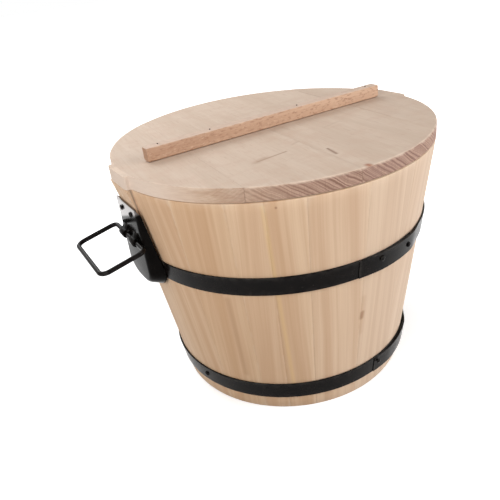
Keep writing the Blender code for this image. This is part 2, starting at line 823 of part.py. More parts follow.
def build():
    pale = make_material("pale_wood", PALE_WOOD, 0.62, 0.0)
    lid_wood = make_material("lid_wood", LID_WOOD, 0.66, 0.0)
    bar_wood = make_material("bar_wood", BAR_WOOD, 0.62, 0.0)
    iron = make_material("black_iron", BLACK_IRON, 0.38, 0.6)

    staves = make_staves(pale)
    make_bottom(pale)
    upper = make_hoop("hoop_upper", UPPER_HOOP_MID, UPPER_LAP_AT, iron)
    lower = make_hoop("hoop_lower", LOWER_HOOP_MID, LOWER_LAP_AT, iron)
    make_hoop_nails("hoop_upper_nails", upper, staves, UPPER_HOOP_MID, UPPER_LAP_AT, UPPER_NAILS, iron)
    make_hoop_nails("hoop_lower_nails", lower, staves, LOWER_HOOP_MID, LOWER_LAP_AT, LOWER_NAILS, iron)
    for side, facing, angle in (("left", 180.0, LEFT_BAIL_ANGLE), ("right", 0.0, RIGHT_BAIL_ANGLE)):
        plate = make_handle_plate("handle_plate_" + side, facing, iron)
        stave = stave_at(staves, facing)
        make_plate_nails("plate_nails_" + side, facing, plate, stave, iron)
        make_bail("bail_" + side, facing, angle, iron)
    make_lid(lid_wood, bar_wood, iron)


build()
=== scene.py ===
# %% [markdown] This lesson dresses a wooden rice tub: a ring of staves, two iron hoops, a lid of
# boards with a bar, and a wire bail on each side. The tub could be drawn afresh in a scene of
# its own, but then its looks and its motion would drift apart. So each visible piece is a new
# mesh that rides on a body of the part and stands for one of its solids. The box of the solids
# is kept.

import math

import bmesh
import bpy
from mathutils import Matrix, Vector


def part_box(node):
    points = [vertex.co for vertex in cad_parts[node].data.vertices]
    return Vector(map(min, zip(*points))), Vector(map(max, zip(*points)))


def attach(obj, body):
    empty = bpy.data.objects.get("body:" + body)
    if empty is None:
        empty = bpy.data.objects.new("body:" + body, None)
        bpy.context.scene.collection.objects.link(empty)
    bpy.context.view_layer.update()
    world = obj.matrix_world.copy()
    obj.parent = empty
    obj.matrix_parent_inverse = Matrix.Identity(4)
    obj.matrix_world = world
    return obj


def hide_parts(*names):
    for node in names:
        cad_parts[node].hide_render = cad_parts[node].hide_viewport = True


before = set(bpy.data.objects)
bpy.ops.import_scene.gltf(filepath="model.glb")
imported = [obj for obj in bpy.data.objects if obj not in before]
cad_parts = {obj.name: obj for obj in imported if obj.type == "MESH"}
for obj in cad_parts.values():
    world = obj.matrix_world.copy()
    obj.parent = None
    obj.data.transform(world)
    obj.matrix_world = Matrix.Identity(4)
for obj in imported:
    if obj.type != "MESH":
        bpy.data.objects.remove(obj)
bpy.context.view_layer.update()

# %% [markdown]
# A rice tub is coopered: staves stand in a ring, and two iron hoops squeeze them together.
# The wall is a cone that opens upwards, so every piece on it needs the wall's radius at a height.
# Each piece could carry radii of its own, but one function for all keeps them in touch with the
# wall when a size changes. The frame's boxes give the heights, which are counted from the feet
# of the staves, as in the workshop.

# %% The wall's cone
FOOT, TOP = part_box("stave_05")[0].z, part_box("stave_05")[1].z
WALL_HEIGHT = TOP - FOOT
FOOT_RADIUS, RIM_RADIUS, WALL_THICK = 0.078, 0.100, 0.010


def wall_radius(height):
    """Outer radius of the wall at a height above the feet."""
    return FOOT_RADIUS + (RIM_RADIUS - FOOT_RADIUS) * height / WALL_HEIGHT


def inner_radius(height):
    return wall_radius(height) - WALL_THICK


def around(angle, radius, height):
    """A point at an angle in degrees, a distance from the axis and a height above the feet."""
    turn = math.radians(angle)
    return Vector((radius * math.cos(turn), radius * math.sin(turn), FOOT + height))


def on_wall(angle, height, proud=0.0):
    """A point on the wall, or standing proud of it."""
    return around(angle, wall_radius(height) + proud, height)


print("wall height", round(WALL_HEIGHT, 4), "rim at", round(TOP, 4))

# %% [markdown]
# Every finish here is made of nodes. A picture wrapped round a piece is the quicker way, but it
# shows its seams and has one size only, while nodes run through a piece as grain runs through
# wood. A small helper puts a node into a material and feeds its inputs with numbers or with the
# outputs of other nodes, so that a finish reads like a recipe, one line for each step.

# %% A helper that wires nodes


def srgb(red, green, blue):
    """A colour as a picture shows it, 0 to 255, as the linear value that a shader takes."""
    channels = []
    for part in (red, green, blue):
        part /= 255.0
        channels.append(part / 12.92 if part <= 0.04045 else ((part + 0.055) / 1.055) ** 2.4)
    return (*channels, 1.0)


class Wiring:
    """A material under construction, node by node."""

    def __init__(self, name):
        self.material = bpy.data.materials.new(name)
        self.material.use_nodes = True
        self.tree = self.material.node_tree
        self.shader = self.tree.nodes["Principled BSDF"]

    def feed(self, socket, value):
        if isinstance(value, bpy.types.NodeSocket):
            self.tree.links.new(value, socket)
        else:
            socket.default_value = value

    def put(self, kind, settings=None, **inputs):
        node = self.tree.nodes.new("ShaderNode" + kind)
        for key, value in (settings or {}).items():
            setattr(node, key, value)
        for key, value in inputs.items():
            self.feed(node.inputs[key.replace("_", " ")], value)
        return node

    def reckon(self, operation, *values):
        node = self.put("Math", {"operation": operation})
        for socket, value in zip(node.inputs, values):
            self.feed(socket, value)
        return node.outputs[0]

    def times(self, first, second):
        return self.reckon("MULTIPLY", first, second)

    def vector(self, operation, *values, output=0):
        node = self.put("VectorMath", {"operation": operation})
        for socket, value in zip(node.inputs, values):
            self.feed(socket, value)
        return node.outputs[output]

    def spot(self):
        """Where a point lies on the tub, in metres."""
        return self.put("TexCoord").outputs["Object"]

    def along(self, vector, axis):
        return self.put("SeparateXYZ", Vector=vector).outputs[axis]

    def facing(self, direction):
        """How far the surface faces a direction, 1 straight and -1 away from it."""
        normal = self.put("TexCoord").outputs["Normal"]
        return self.vector("DOT_PRODUCT", normal, direction, output="Value")

    def attribute(self, name, output="Fac"):
        return self.put("Attribute", {"attribute_name": name}).outputs[output]


print("a picture's middle grey is", round(srgb(128, 128, 128)[0], 3), "to a shader")

# %% [markdown]
# All the finishes are stirred from the same few things: clouds, patches of a second tone, marks
# in one place and worn edges. Masks painted on each piece would give them too, one by one. As
# short recipes they suit every piece, and their strength is a number that is easy to try.

# %% Clouds, marks and wear


class Finish(Wiring):
    """A finish stirred from clouds, blends, marks and wear."""

    def noise(self, vector, scale, detail=2.0, rough=0.5):
        """Cloudy values from 0 to 1; scale is a number, or a vector for clouds drawn out."""
        if isinstance(scale, tuple):
            vector, scale = self.vector("MULTIPLY", vector, scale), 1.0
        node = self.put("TexNoise", Vector=vector, Scale=scale, Detail=detail, Roughness=rough)
        return node.outputs["Fac"]

    def fade(self, value, low, high, start=0.0, end=1.0):
        """value between low and high, turned smoothly into start to end."""
        node = self.put("MapRange", {"interpolation_type": "SMOOTHSTEP"})
        for key, number in (("Value", value), ("From Min", low), ("From Max", high),
                            ("To Min", start), ("To Max", end)):
            self.feed(node.inputs[key], number)
        return node.outputs[0]

    def patches(self, vector, scale, low, high, most=1.0, detail=2.0, rough=0.5):
        """Patches: 0 where the noise is under low, and most where it is over high."""
        return self.fade(self.noise(vector, scale, detail, rough), low, high, 0.0, most)

    def blend(self, share, first, second, how="MIX"):
        """Mix two colours. A Mix node's sockets for colours are 6 and 7, and 2 comes out."""
        node = self.put("Mix", {"data_type": "RGBA", "blend_type": how})
        for number, value in ((0, share), (6, first), (7, second)):
            self.feed(node.inputs[number], value)
        return node.outputs[2]

    def toned(self, colour):
        """Colour made lighter or darker by the piece's own tone."""
        tone = self.attribute("tone")
        grey = self.put("CombineColor", Red=tone, Green=tone, Blue=tone).outputs[0]
        return self.blend(1.0, colour, grey, "MULTIPLY")

    def marked(self, colour, place, start, end, width, depth, shade):
        """Colour with a streak, a scratch or a knot from start to end that fades over width."""
        start, end = Vector(start), Vector(end)
        length = (end - start).length
        way = tuple((end - start) / length)
        away = self.vector("SUBTRACT", place, tuple(start))
        walked = self.vector("DOT_PRODUCT", away, way, output="Value")
        walked = self.put("Clamp", Value=walked, Min=0.0, Max=length).outputs[0]
        nearest = self.put("VectorMath", {"operation": "SCALE"}, Vector=way, Scale=walked)
        left = self.vector("SUBTRACT", away, nearest.outputs[0])
        distance = self.vector("LENGTH", left, output="Value")
        return self.blend(self.fade(distance, 0.0, width, depth, 0.0), colour, srgb(*shade))

    def sharp_edge(self):
        """1 on the outer edges of a finely divided mesh. Pointiness is 0.5 on a flat face."""
        return self.fade(self.put("NewGeometry").outputs["Pointiness"], 0.51, 0.58)

    def worn(self, edge, colour, shade, amount, scale):
        """Colour worn to a shade along an edge, broken up, because use rubs it unevenly."""
        rubbed = self.patches(self.spot(), scale, 0.38, 0.62, detail=3.0)
        return self.blend(self.times(self.times(edge, rubbed), amount), colour, srgb(*shade))

    def finish(self, colour, roughness, height=None, depth=0.0001, **constants):
        """Feed the shader. height gives the bump, and depth is its height in metres."""
        self.feed(self.shader.inputs["Base Color"], colour)
        self.feed(self.shader.inputs["Roughness"], roughness)
        for key, value in constants.items():
            self.shader.inputs[key.replace("_", " ")].default_value = value
        if height is not None:
            bump = self.put("Bump", Strength=1.0, Distance=depth, Height=height)
            self.feed(self.shader.inputs["Normal"], bump.outputs["Normal"])
        return self.material


print("a finish can be made of:", *[name for name in vars(Finish) if name[0] != "_"])

# %% [markdown]
# All the wood is one kind of pale softwood, cut differently. Long grain is a cloud texture drawn
# out fifty times or more along the tree: wide bands of tone, thin growth lines and fine fibres.
# A wave texture would draw even stripes, which no tree has. The pieces carry a point attribute,
# grain, that holds across, along and depth in metres, so the lines follow each stave down the
# cone. A second attribute, board, moves every piece to another part of the tree.

# %% Long grain
WIDE_BANDS, THIN_LINES = (125.0, 2.5, 125.0), (400.0, 3.0, 400.0)
FIBRES = (2400.0, 22.0, 2400.0)
NEXT_BOARD = (3.7, 1.9, 5.3)
BEND, BEND_SCALE = 0.006, (25.0, 7.0, 25.0)


def tree_place(f, grain):
    """Where a point of a piece lay in the tree, bent a little, because no trunk is straight."""
    own = f.put("VectorMath", {"operation": "SCALE"}, Vector=NEXT_BOARD, Scale=f.attribute("board"))
    place = f.vector("ADD", grain, own.outputs[0])
    sway = f.reckon("SUBTRACT", f.noise(place, BEND_SCALE, 1.0), 0.5)
    bent = f.put("CombineXYZ", X=f.times(sway, BEND))
    return f.vector("ADD", place, bent.outputs[0])


def long_grain(f, place, light, dark, bands, lines):
    """Long grain from a light to a dark tone, with the strength of its bands and lines."""
    colour = srgb(*light)
    for share in (f.patches(place, WIDE_BANDS, 0.36, 0.64, bands, 3.0, 0.55),
                  f.patches(place, THIN_LINES, 0.48, 0.68, lines),
                  f.patches(place, FIBRES, 0.35, 0.75, 0.2)):
        colour = f.blend(share, colour, srgb(*dark))
    return colour


print("fibres are drawn out", round(FIBRES[0] / FIBRES[1]), "times")

# %% [markdown]
# A stave's face is planed smooth, so its grain shows as colour more than as relief. Some staves
# were cut from honey-coloured wood and some from paler wood, and the attribute warm mixes the two.
# The few marks by which this tub is known, such as a yellow streak and a knot, are drawn as
# short strokes at an angle and a height on the wall. Painting them on a picture would be the
# usual way, but a stroke of nodes stays sharp at any size.

# %% Stave wood, from honey to pale, with its few marks
HANDLES = (("left", 180.0), ("right", 0.0))  # each side with the angle that it faces
HANDLE_TURN = 15.8
WALL_MARKS = (  # from angle and height, to angle and height, width, strength and colour
    ((-125.2, 0.150), (-121.8, 0.020), 0.0022, 0.55, (226, 190, 138)),  # yellow streak
    ((-142.4, 0.090), (-142.4, 0.030), 0.0035, 0.50, (188, 146, 112)),  # dusky streak
    ((-92.1, 0.052), (-92.1, 0.078), 0.0034, 0.35, (196, 158, 126)),  # wood about the knot
    ((-92.3, 0.0635), (-92.0, 0.067), 0.0026, 0.70, (156, 114, 84)),  # knot
    ((-121.5, 0.149), (-121.5, 0.1492), 0.0010, 0.80, (150, 105, 78)))  # speck
# painted shade: a dark line on the joint beside each block, on one side only, where the block's
# side face lies in shade
SHADED_SEAM_TOP, SHADED_SEAM_FOOT, SHADED_SEAM_PROUD = 0.152, 0.132, 0.001  # the dark seam beside each block


def stave_wood():
    f = Finish("wood_stave")
    place, spot = tree_place(f, f.attribute("grain", "Vector")), f.spot()
    pale = long_grain(f, place, (226, 207, 190), (206, 183, 162), 0.6, 0.25)
    honey = long_grain(f, place, (226, 192, 157), (198, 154, 116), 0.6, 0.25)
    colour = f.blend(f.attribute("warm"), pale, honey)
    for start, end, width, depth, shade in WALL_MARKS:
        colour = f.marked(colour, spot, on_wall(*start), on_wall(*end), width, depth, shade)
    # painted shade on the block's side, drawn along one joint of each handle stave
    for side, facing in HANDLES:
        seam = facing + HANDLE_TURN / 2.0
        top, foot = on_wall(seam, SHADED_SEAM_TOP, SHADED_SEAM_PROUD), on_wall(seam, SHADED_SEAM_FOOT, SHADED_SEAM_PROUD)
        colour = f.marked(colour, spot, top, foot, 0.0009, 0.95, (84, 52, 34))
    colour = f.worn(f.sharp_edge(), f.toned(colour), (232, 212, 190), 0.4, 120.0)
    fibres = f.noise(place, FIBRES)
    rough = f.fade(fibres, 0.3, 0.7, 0.55, 0.72)
    return f.finish(colour, rough, fibres, 0.00005, Specular_IOR_Level=0.3)


pale_wood = stave_wood()
print("stave wood:", len(pale_wood.node_tree.nodes), "nodes")

# %% [markdown]
# The ironwork is thin steel under black paint. Paint is never quite even: it is smoother where
# it pooled and duller where it dried thin, so a cloud texture drives the roughness, and a very
# fine one gives the bump of sprayed paint. The hoops are satin and the handle plates glossier,
# and the upper end of the left plate is a patch of bare metal, a painted reflection. Bare metal
# could be a second shader mixed in there, but one shader whose Metallic rises is simpler, and
# it survives an export.

# %% Black paint
UPPER_MID = 0.1010
PIVOT_HEIGHT = UPPER_MID + 0.0195
THIN_PAINT = 1.7
# slope, raggedness and heights of the lower edge of the painted reflection on the left plate
REFLECTION_SLOPE, REFLECTION_RAGGED = 0.34, 0.001
REFLECTION_FROM = FOOT + PIVOT_HEIGHT + 0.0122
REFLECTION_TO = FOOT + PIVOT_HEIGHT + 0.0144


def black_paint(name, colour, dull, smooth, specular, painted_reflection=False):
    f = Finish(name)
    spot = f.spot()
    clouds, spray = f.noise(spot, 140.0, 3.0), f.noise(spot, 1500.0)
    rubbed = f.patches(spot, 420.0, 0.66, 0.78, 0.35, 4.0, 0.65)
    thin = tuple(min(1.0, part * THIN_PAINT) for part in colour)
    shade = f.blend(f.fade(clouds, 0.35, 0.7), colour, thin)
    shade = f.blend(rubbed, shade, srgb(74, 70, 66))
    shade = f.worn(f.sharp_edge(), shade, (92, 87, 82), 0.22, 260.0)
    rough = f.fade(clouds, 0.3, 0.7, smooth, dull)
    # painted reflection: a patch of bare metal on the upper end of the left plate only
    if painted_reflection:
        height = f.vector("DOT_PRODUCT", spot, (0.0, REFLECTION_SLOPE, 1.0), output="Value")
        height = f.reckon("ADD", height, f.times(clouds, REFLECTION_RAGGED))
        shine = f.fade(height, REFLECTION_FROM, REFLECTION_TO)
        shine = f.times(shine, f.reckon("LESS_THAN", f.along(spot, "X"), 0.0))
        f.feed(f.shader.inputs["Metallic"], shine)
        shade = f.blend(shine, shade, srgb(112, 107, 105))
        rough = f.fade(shine, 0.0, 1.0, rough, 0.16)
    return f.finish(shade, rough, spray, 0.00002, Specular_IOR_Level=specular)


black_iron = black_paint("iron_satin_black", srgb(11, 8, 7), 0.28, 0.17, 0.06)
gloss_iron = black_paint("iron_gloss_black", srgb(10, 8, 7), 0.20, 0.10, 0.02, painted_reflection=True)
print("paints:", black_iron.name, gloss_iron.name)

# %% [markdown]
# Each piece of the tub is one solid thing, so here it is one closed mesh. It could be pulled out
# of a primitive in edit mode, but that is slow to change. Here a piece is made from points and
# faces that are worked out from its sizes. The helpers give it its attributes, find the outward
# side of its faces, shade it smooth up to a given angle, put it on its moving body and hide the
# node of the frame that it stands for.

# %% Helpers that turn points and faces into a piece


def give(mesh, name, values):
    """A point attribute from a list of numbers or of vectors."""
    number = isinstance(values[0], float)
    layer = mesh.attributes.new(name, "FLOAT" if number else "FLOAT_VECTOR", "POINT")
    for entry, value in zip(layer.data, values):
        setattr(entry, "value" if number else "vector", value)


def new_piece(name, points, faces, sharp=35.0, **attributes):
    """A mesh object, smooth except where its faces meet at more than sharp degrees."""
    mesh = bpy.data.meshes.new(name)
    mesh.from_pydata(points, [], faces)
    for key, values in attributes.items():
        give(mesh, key, values)
    bm = bmesh.new()
    bm.from_mesh(mesh)
    bmesh.ops.recalc_face_normals(bm, faces=bm.faces[:])
    bm.to_mesh(mesh)
    bm.free()
    mesh.shade_smooth()
    mesh.set_sharp_from_angle(angle=math.radians(sharp))
    return bpy.data.objects.new(name, mesh)


def dress(item, material, body, node):
    """Paint a piece, set it on its body and hide the node of the part that it stands for."""
    item.data.materials.append(material)
    bpy.context.scene.collection.objects.link(item)
    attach(item, body)
    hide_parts(node)


def skin(rows, columns, closed=False):
    """Faces of a tube: columns of rows points each, its two ends shut or joined to a ring."""
    faces = []
    for c in range(columns if closed else columns - 1):
        here, after = c * rows, (c + 1) % columns * rows
        for r in range(rows):
            following = (r + 1) % rows
            faces.append((here + r, here + following, after + following, after + r))
    if not closed:
        faces.append(tuple(range(rows)))
        faces.append(tuple(reversed(range((columns - 1) * rows, columns * rows))))
    return faces


print("a closed tube of 4 by 3 points has", len(skin(4, 3)), "faces")

# %% [markdown]
# The two handle staves are left thick near the rim and planed to a block that carries the handle
# plate: upright behind the plate and leaning out above it, up to the lid's tab. A block could be
# joined on with a Boolean, but here the radius of the stave's outer face says it all: it is the
# wall's, or the block's where that stands further out.

# %% The block on a handle stave
BLOCK_FOOT, BLOCK_RUNOUT, BLOCK_ROUGH = 0.112, 0.004, 0.0068
PLATE_TOP = 0.1415
BLOCK_BACK = wall_radius(PLATE_TOP) + 0.0013
BLOCK_CREST = RIM_RADIUS + 0.0024


def limited(share):
    return min(1.0, max(0.0, share))


def block_face(height):
    """Distance of the block's planed face from the plane through the axis."""
    lean = max(0.0, (height - PLATE_TOP) / (WALL_HEIGHT - PLATE_TOP))
    return BLOCK_BACK + (BLOCK_CREST - BLOCK_BACK) * lean


def face_radius(angle, height, has_block):
    """Radius of a stave's outer face at an angle from the stave's middle."""
    wall = wall_radius(height)
    if not has_block:
        return wall
    share = limited((height - BLOCK_FOOT + BLOCK_RUNOUT) / BLOCK_RUNOUT)
    planed = block_face(height) / math.cos(math.radians(angle))
    return min(wall + share * BLOCK_ROUGH, max(wall, planed))


print("block from", BLOCK_FOOT, "to", round(BLOCK_CREST, 4))

# %% [markdown]
# A stave is a plank whose section is a short arc of the wall, with a groove near its foot that
# holds the bottom. A cube could be bent and grooved with modifiers. Drawing the section once,
# from the foot up over the rim and down the inside, and sweeping it in steps of about a degree
# about the axis gives cleaner faces, and the grain attribute comes with it. The last step on
# each side is tiny and a hair lower, so that a seam shows as a fine line.

# %% One stave
BOTTOM_LEVEL = 0.012
GROOVE_LOW, GROOVE_HIGH, GROOVE_DEPTH = 0.0131, 0.0203, 0.0035
EDGE_ROUND, EASED, FOOT_EASED = 0.0010, 0.3, 0.28
STAVE_ROWS = 30
SEAM, SEAM_EASE, SEAM_EDGE = 0.00003, 0.00005, 0.06
GRAIN_SKEW, SKEW_SPREAD = 0.05, 40.0
WARM_SIDE, WARM_SWING, WARM_BASE = 160.0, 0.5, -0.05


def stave_section(angle, has_block, ease):
    """Points of the section at an angle: up the outside, over the rim, down the inside."""
    foot = face_radius(angle, 0.0, has_block)
    crown = face_radius(angle, WALL_HEIGHT, has_block)
    outside = [(foot - EDGE_ROUND, 0.0), (foot - EASED * EDGE_ROUND, FOOT_EASED * EDGE_ROUND)]
    straight = WALL_HEIGHT - 2.0 * EDGE_ROUND
    heights = [EDGE_ROUND + straight * row / STAVE_ROWS for row in range(STAVE_ROWS + 1)]
    heights = sorted(heights + [BLOCK_FOOT - BLOCK_RUNOUT, BLOCK_FOOT, PLATE_TOP])
    outside += [(face_radius(angle, height, has_block), height) for height in heights]
    outside += [(crown - EASED * EDGE_ROUND, WALL_HEIGHT - EASED * EDGE_ROUND),
                (crown - EDGE_ROUND, WALL_HEIGHT)]
    deep = inner_radius(BOTTOM_LEVEL) + GROOVE_DEPTH
    inside = [(inner_radius(WALL_HEIGHT) + EDGE_ROUND, WALL_HEIGHT)]
    inside += [(inner_radius(height), height) for height in (WALL_HEIGHT - EDGE_ROUND, GROOVE_HIGH)]
    inside += [(deep, GROOVE_HIGH), (deep, GROOVE_LOW)]
    inside += [(inner_radius(height), height) for height in (GROOVE_LOW, 0.0)]
    return [(r - ease, h) for r, h in outside] + [(r + ease, h) for r, h in inside]


def make_stave(node, start, turn, has_block, tone, warm, board):
    """A stave from an angle over a turn. The wood is warmer towards the left handle."""
    joint = math.degrees(SEAM / RIM_RADIUS)
    span = turn - joint
    columns = max(8, round(span))
    offsets = [0.0, SEAM_EDGE] + [span * c / columns for c in range(1, columns)]
    offsets += [span - SEAM_EDGE, span]
    skew = GRAIN_SKEW * math.sin(board * SKEW_SPREAD)
    points, grain, warmth = [], [], []
    for number, offset in enumerate(offsets):
        local = offset - span / 2.0
        side = math.cos(math.radians(start + offset + WARM_SIDE))
        honey = limited(warm + WARM_BASE + WARM_SWING * side)
        ease = SEAM_EASE if number in (0, len(offsets) - 1) else 0.0
        section = stave_section(local if has_block else 0.0, has_block, ease)
        for radius, height in section:
            points.append(around(start + joint / 2.0 + offset, radius, height))
            across = math.radians(local) * wall_radius(height)
            grain.append(Vector((across + skew * height, height, radius - wall_radius(height))))
            warmth.append(honey)
    count = len(points)
    item = new_piece("wood_" + node, points, skin(len(section), len(offsets)), grain=grain,
                     board=[board] * count, tone=[tone] * count, warm=warmth)
    dress(item, pale_wood, "tub", node)


print("a section has", len(stave_section(0.0, False, 0.0)), "points")

# %% [markdown]
# No two staves are cut alike: each is as wide as its wood allows, and the last one is planed
# until the ring closes. An array of equal staves would be quicker, and would look like a
# machine's work. So the widths are a list, ten on each side between the handle staves, scaled
# until they close the ring, and each stave has its own tone and warmth.

# %% The ring of staves
STAVES = (  # width in degrees before scaling, tone and warmth
    (17.4, 1.00, 0.48), (18.5, 0.98, 0.56), (11.3, 1.01, 0.50), (12.2, 0.99, 0.56),
    (19.9, 1.00, 0.50), (19.6, 0.99, 0.46), (16.5, 1.00, 0.50), (16.0, 0.99, 0.46),
    (16.5, 1.00, 0.52), (16.3, 0.99, 0.48))
BOARD_STEP, HANDLE_BOARDS = 0.37, {"left": 0.23, "right": 0.71}
scaling = (180.0 - HANDLE_TURN) / sum(turn for turn, tone, warm in STAVES)
number = 0
for side, facing in HANDLES:
    start = facing + HANDLE_TURN / 2.0
    for turn, tone, warm in STAVES:
        number += 1
        make_stave(f"stave_{number:02d}", start, turn * scaling, False, tone, warm,
                   number * BOARD_STEP % 1.0)
        start += turn * scaling
for side, facing in HANDLES:
    make_stave(f"handle_stave_{side}", facing - HANDLE_TURN / 2.0, HANDLE_TURN, True, 1.01, 0.45,
               HANDLE_BOARDS[side])
print("staves:", number + len(HANDLES))

# %% [markdown]
# A hoop is a flat band of iron, bent round and pulled over the cone until it grips. Its outer
# end is hammered thin, laps over the inner one and is held there by a nail. A torus can't lap,
# so the band's section, with slightly rounded edges, is swept once round and a little further.
# The sweep starts at the outer end, lifted by the band's thickness, and comes down to the wall
# over a ramp behind the lap.

# %% Hoops
HOOP_THICK, HOOP_WIDTH, LAP, RAMP = 0.0010, 0.0120, 0.042, 0.016
LOWER_MID = 0.0169
UPPER_LAP, LOWER_LAP = -95.7, -82.8
HAMMERED, THIN_END = 0.016, 0.12
HOOP_STEPS, HOOP_SOFT, SOFT_SHARE = 320, 0.00022, 0.4
GAP = 0.0003  # left between any two pieces that lie on each other


def lap_lift(travel):
    """How far the band is lifted off the wall, to lap over its own inner end."""
    share = limited((travel - LAP) / RAMP)
    return (HOOP_THICK + GAP) * (1.0 - share * share * (3.0 - 2.0 * share))


def make_hoop(node, middle, lap_at):
    radius = wall_radius(middle)
    start, total = math.radians(lap_at), 2.0 * math.pi + LAP / radius
    half = HOOP_WIDTH / 2.0
    points = []
    for step in range(HOOP_STEPS + 1):
        angle = start + total * step / HOOP_STEPS
        travel = (angle - start) * radius
        thick = HOOP_THICK * (THIN_END + (1.0 - THIN_END) * min(1.0, travel / HAMMERED))
        soft = min(HOOP_SOFT, thick * SOFT_SHARE)
        section = [(0.0, soft - half), (soft, -half), (thick - soft, -half), (thick, soft - half),
                   (thick, -half * SOFT_SHARE), (thick, half * SOFT_SHARE),
                   (thick, half - soft), (thick - soft, half), (soft, half), (0.0, half - soft)]
        off = GAP + lap_lift(travel)
        points += [on_wall(math.degrees(angle), middle + up, off + out) for out, up in section]
    item = new_piece("iron_" + node, points, skin(len(section), HOOP_STEPS + 1), 40.0)
    dress(item, black_iron, "tub", node)


make_hoop("hoop_upper", UPPER_MID, UPPER_LAP)
make_hoop("hoop_lower", LOWER_MID, LOWER_LAP)
print("hoops round", round(wall_radius(UPPER_MID), 4), "and", round(wall_radius(LOWER_MID), 4))

# %% [markdown]
# The nails have small domed heads, struck a little flat. Half a sphere on a cylinder would be
# too round, so a profile turned about the nail's own axis gives the head and the shank in one
# closed mesh. The nail is then set down on the band along the wall's normal.

# %% Nails
HOOP_NAIL = (0.0017, 0.0009, 0.0007, 0.0080)  # head's radius, head's rise, shank's radius, length
DOME = ((0.30, 0.97), (0.55, 0.86), (0.76, 0.66), (0.92, 0.38), (1.0, 0.10), (1.0, 0.0))
NAIL_SIDES = 20
CROWN, TAPER_FROM, POINT = 0.02, 0.8, 0.05  # of the head's radius, the length, the shank's radius
UP = Vector((0.0, 0.0, 1.0))
UPPER_NAILS = ((-86.6, 0.0024), (-71.6, 0.0), (93.4, 0.0012), (108.4, 0.0))  # angle and rise
LOWER_NAILS = ((-80.9, 0.0028), (-166.2, 0.0), (99.1, 0.0012), (13.8, 0.0))


def nail_piece(node, seat, direction, body, sizes=HOOP_NAIL):
    """A nail whose head sits on seat and looks in a direction."""
    radius, rise, shank, length = sizes
    rings = [(CROWN * radius, rise)] + [(radius * out, rise * up) for out, up in DOME]
    rings += [(shank, 0.0), (shank, -TAPER_FROM * length), (POINT * shank, -length)]
    turn = UP.rotation_difference(direction)
    points = []
    for out, up in rings:
        for side in range(NAIL_SIDES):
            angle = 2.0 * math.pi * side / NAIL_SIDES
            spot = Vector((out * math.cos(angle), out * math.sin(angle), up))
            points.append(Vector(seat) + turn @ spot)
    item = new_piece("head_" + node, points, skin(NAIL_SIDES, len(rings)), 50.0)
    dress(item, black_iron, body, node)


def hoop_nail(node, angle, height, middle, lap_at):
    travel = math.radians((angle - lap_at) % 360.0) * wall_radius(middle)
    lean = math.atan((RIM_RADIUS - FOOT_RADIUS) / WALL_HEIGHT)
    flat = around(angle, 1.0, -FOOT)
    normal = (flat * math.cos(lean) - UP * math.sin(lean)).normalized()
    seat = on_wall(angle, height, GAP + lap_lift(travel)) + normal * (HOOP_THICK + GAP)
    nail_piece(node, seat, normal, "tub")


for hoop, places, middle, lap_at in (("upper", UPPER_NAILS, UPPER_MID, UPPER_LAP),
                                     ("lower", LOWER_NAILS, LOWER_MID, LOWER_LAP)):
    for number, (angle, rise) in enumerate(places, 1):
        hoop_nail(f"hoop_{hoop}_nails_{number}", angle, middle + rise, middle, lap_at)
print("hoop nails:", len(UPPER_NAILS) + len(LOWER_NAILS))

# %% [markdown]
# Where a saw cuts across a board, it shows end grain: the growth rings as brown arcs, with open
# pores between them. The rings are drawn by the distance from the tree's heart, which lay above
# the board, and that distance goes into a noise with one dimension, so the rings are as uneven
# as real years. A wave texture with Rings would make every year alike.

# %% End grain
LID_LOW, LID_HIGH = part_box("lid_board_2")[0].z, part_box("lid_board_2")[1].z
HEART_ABOVE, WOBBLE, RING_SCALE = 0.030, 0.0022, 900.0


def end_grain(f, place, pith):
    """Growth rings about a heart that runs along the boards, with pores between them."""
    height = f.along(place, "Z")
    across = f.reckon("SUBTRACT", f.along(place, "X"), pith)
    up = f.reckon("SUBTRACT", height, LID_HIGH + HEART_ABOVE)
    radius = f.reckon("SQRT", f.reckon("ADD", f.times(across, across), f.times(up, up)))
    wobble = f.times(f.noise(place, (110.0, 20.0, 110.0)), WOBBLE)
    rings = f.put("TexNoise", {"noise_dimensions": "1D"}, W=f.reckon("ADD", radius, wobble),
                  Scale=RING_SCALE, Detail=4.0, Roughness=0.6)
    years = f.fade(rings.outputs["Fac"], 0.36, 0.66)
    colour = f.blend(years, srgb(187, 154, 135), srgb(130, 96, 81))
    for share, shade in (
            (f.patches(place, (1500.0, 1500.0, 120.0), 0.5, 0.72, 0.3), (122, 90, 74)),  # saw ticks
            # painted shade: the end grain darker towards its lower edge, where the lid sits on the
            # tub
            (f.fade(height, LID_LOW, LID_HIGH, 0.5, 0.0), (118, 84, 64)),  # darker towards below
            (f.patches(place, (1800.0, 300.0, 1800.0), 0.52, 0.72, 0.3), (118, 86, 72)),  # pores
            (f.patches(place, (70.0, 10.0, 70.0), 0.4, 0.7, 0.4), (158, 124, 114))):  # stain
        colour = f.blend(share, colour, srgb(*shade))
    return colour


print("end grain ready, lid from", round(LID_LOW, 4), "to", round(LID_HIGH, 4))
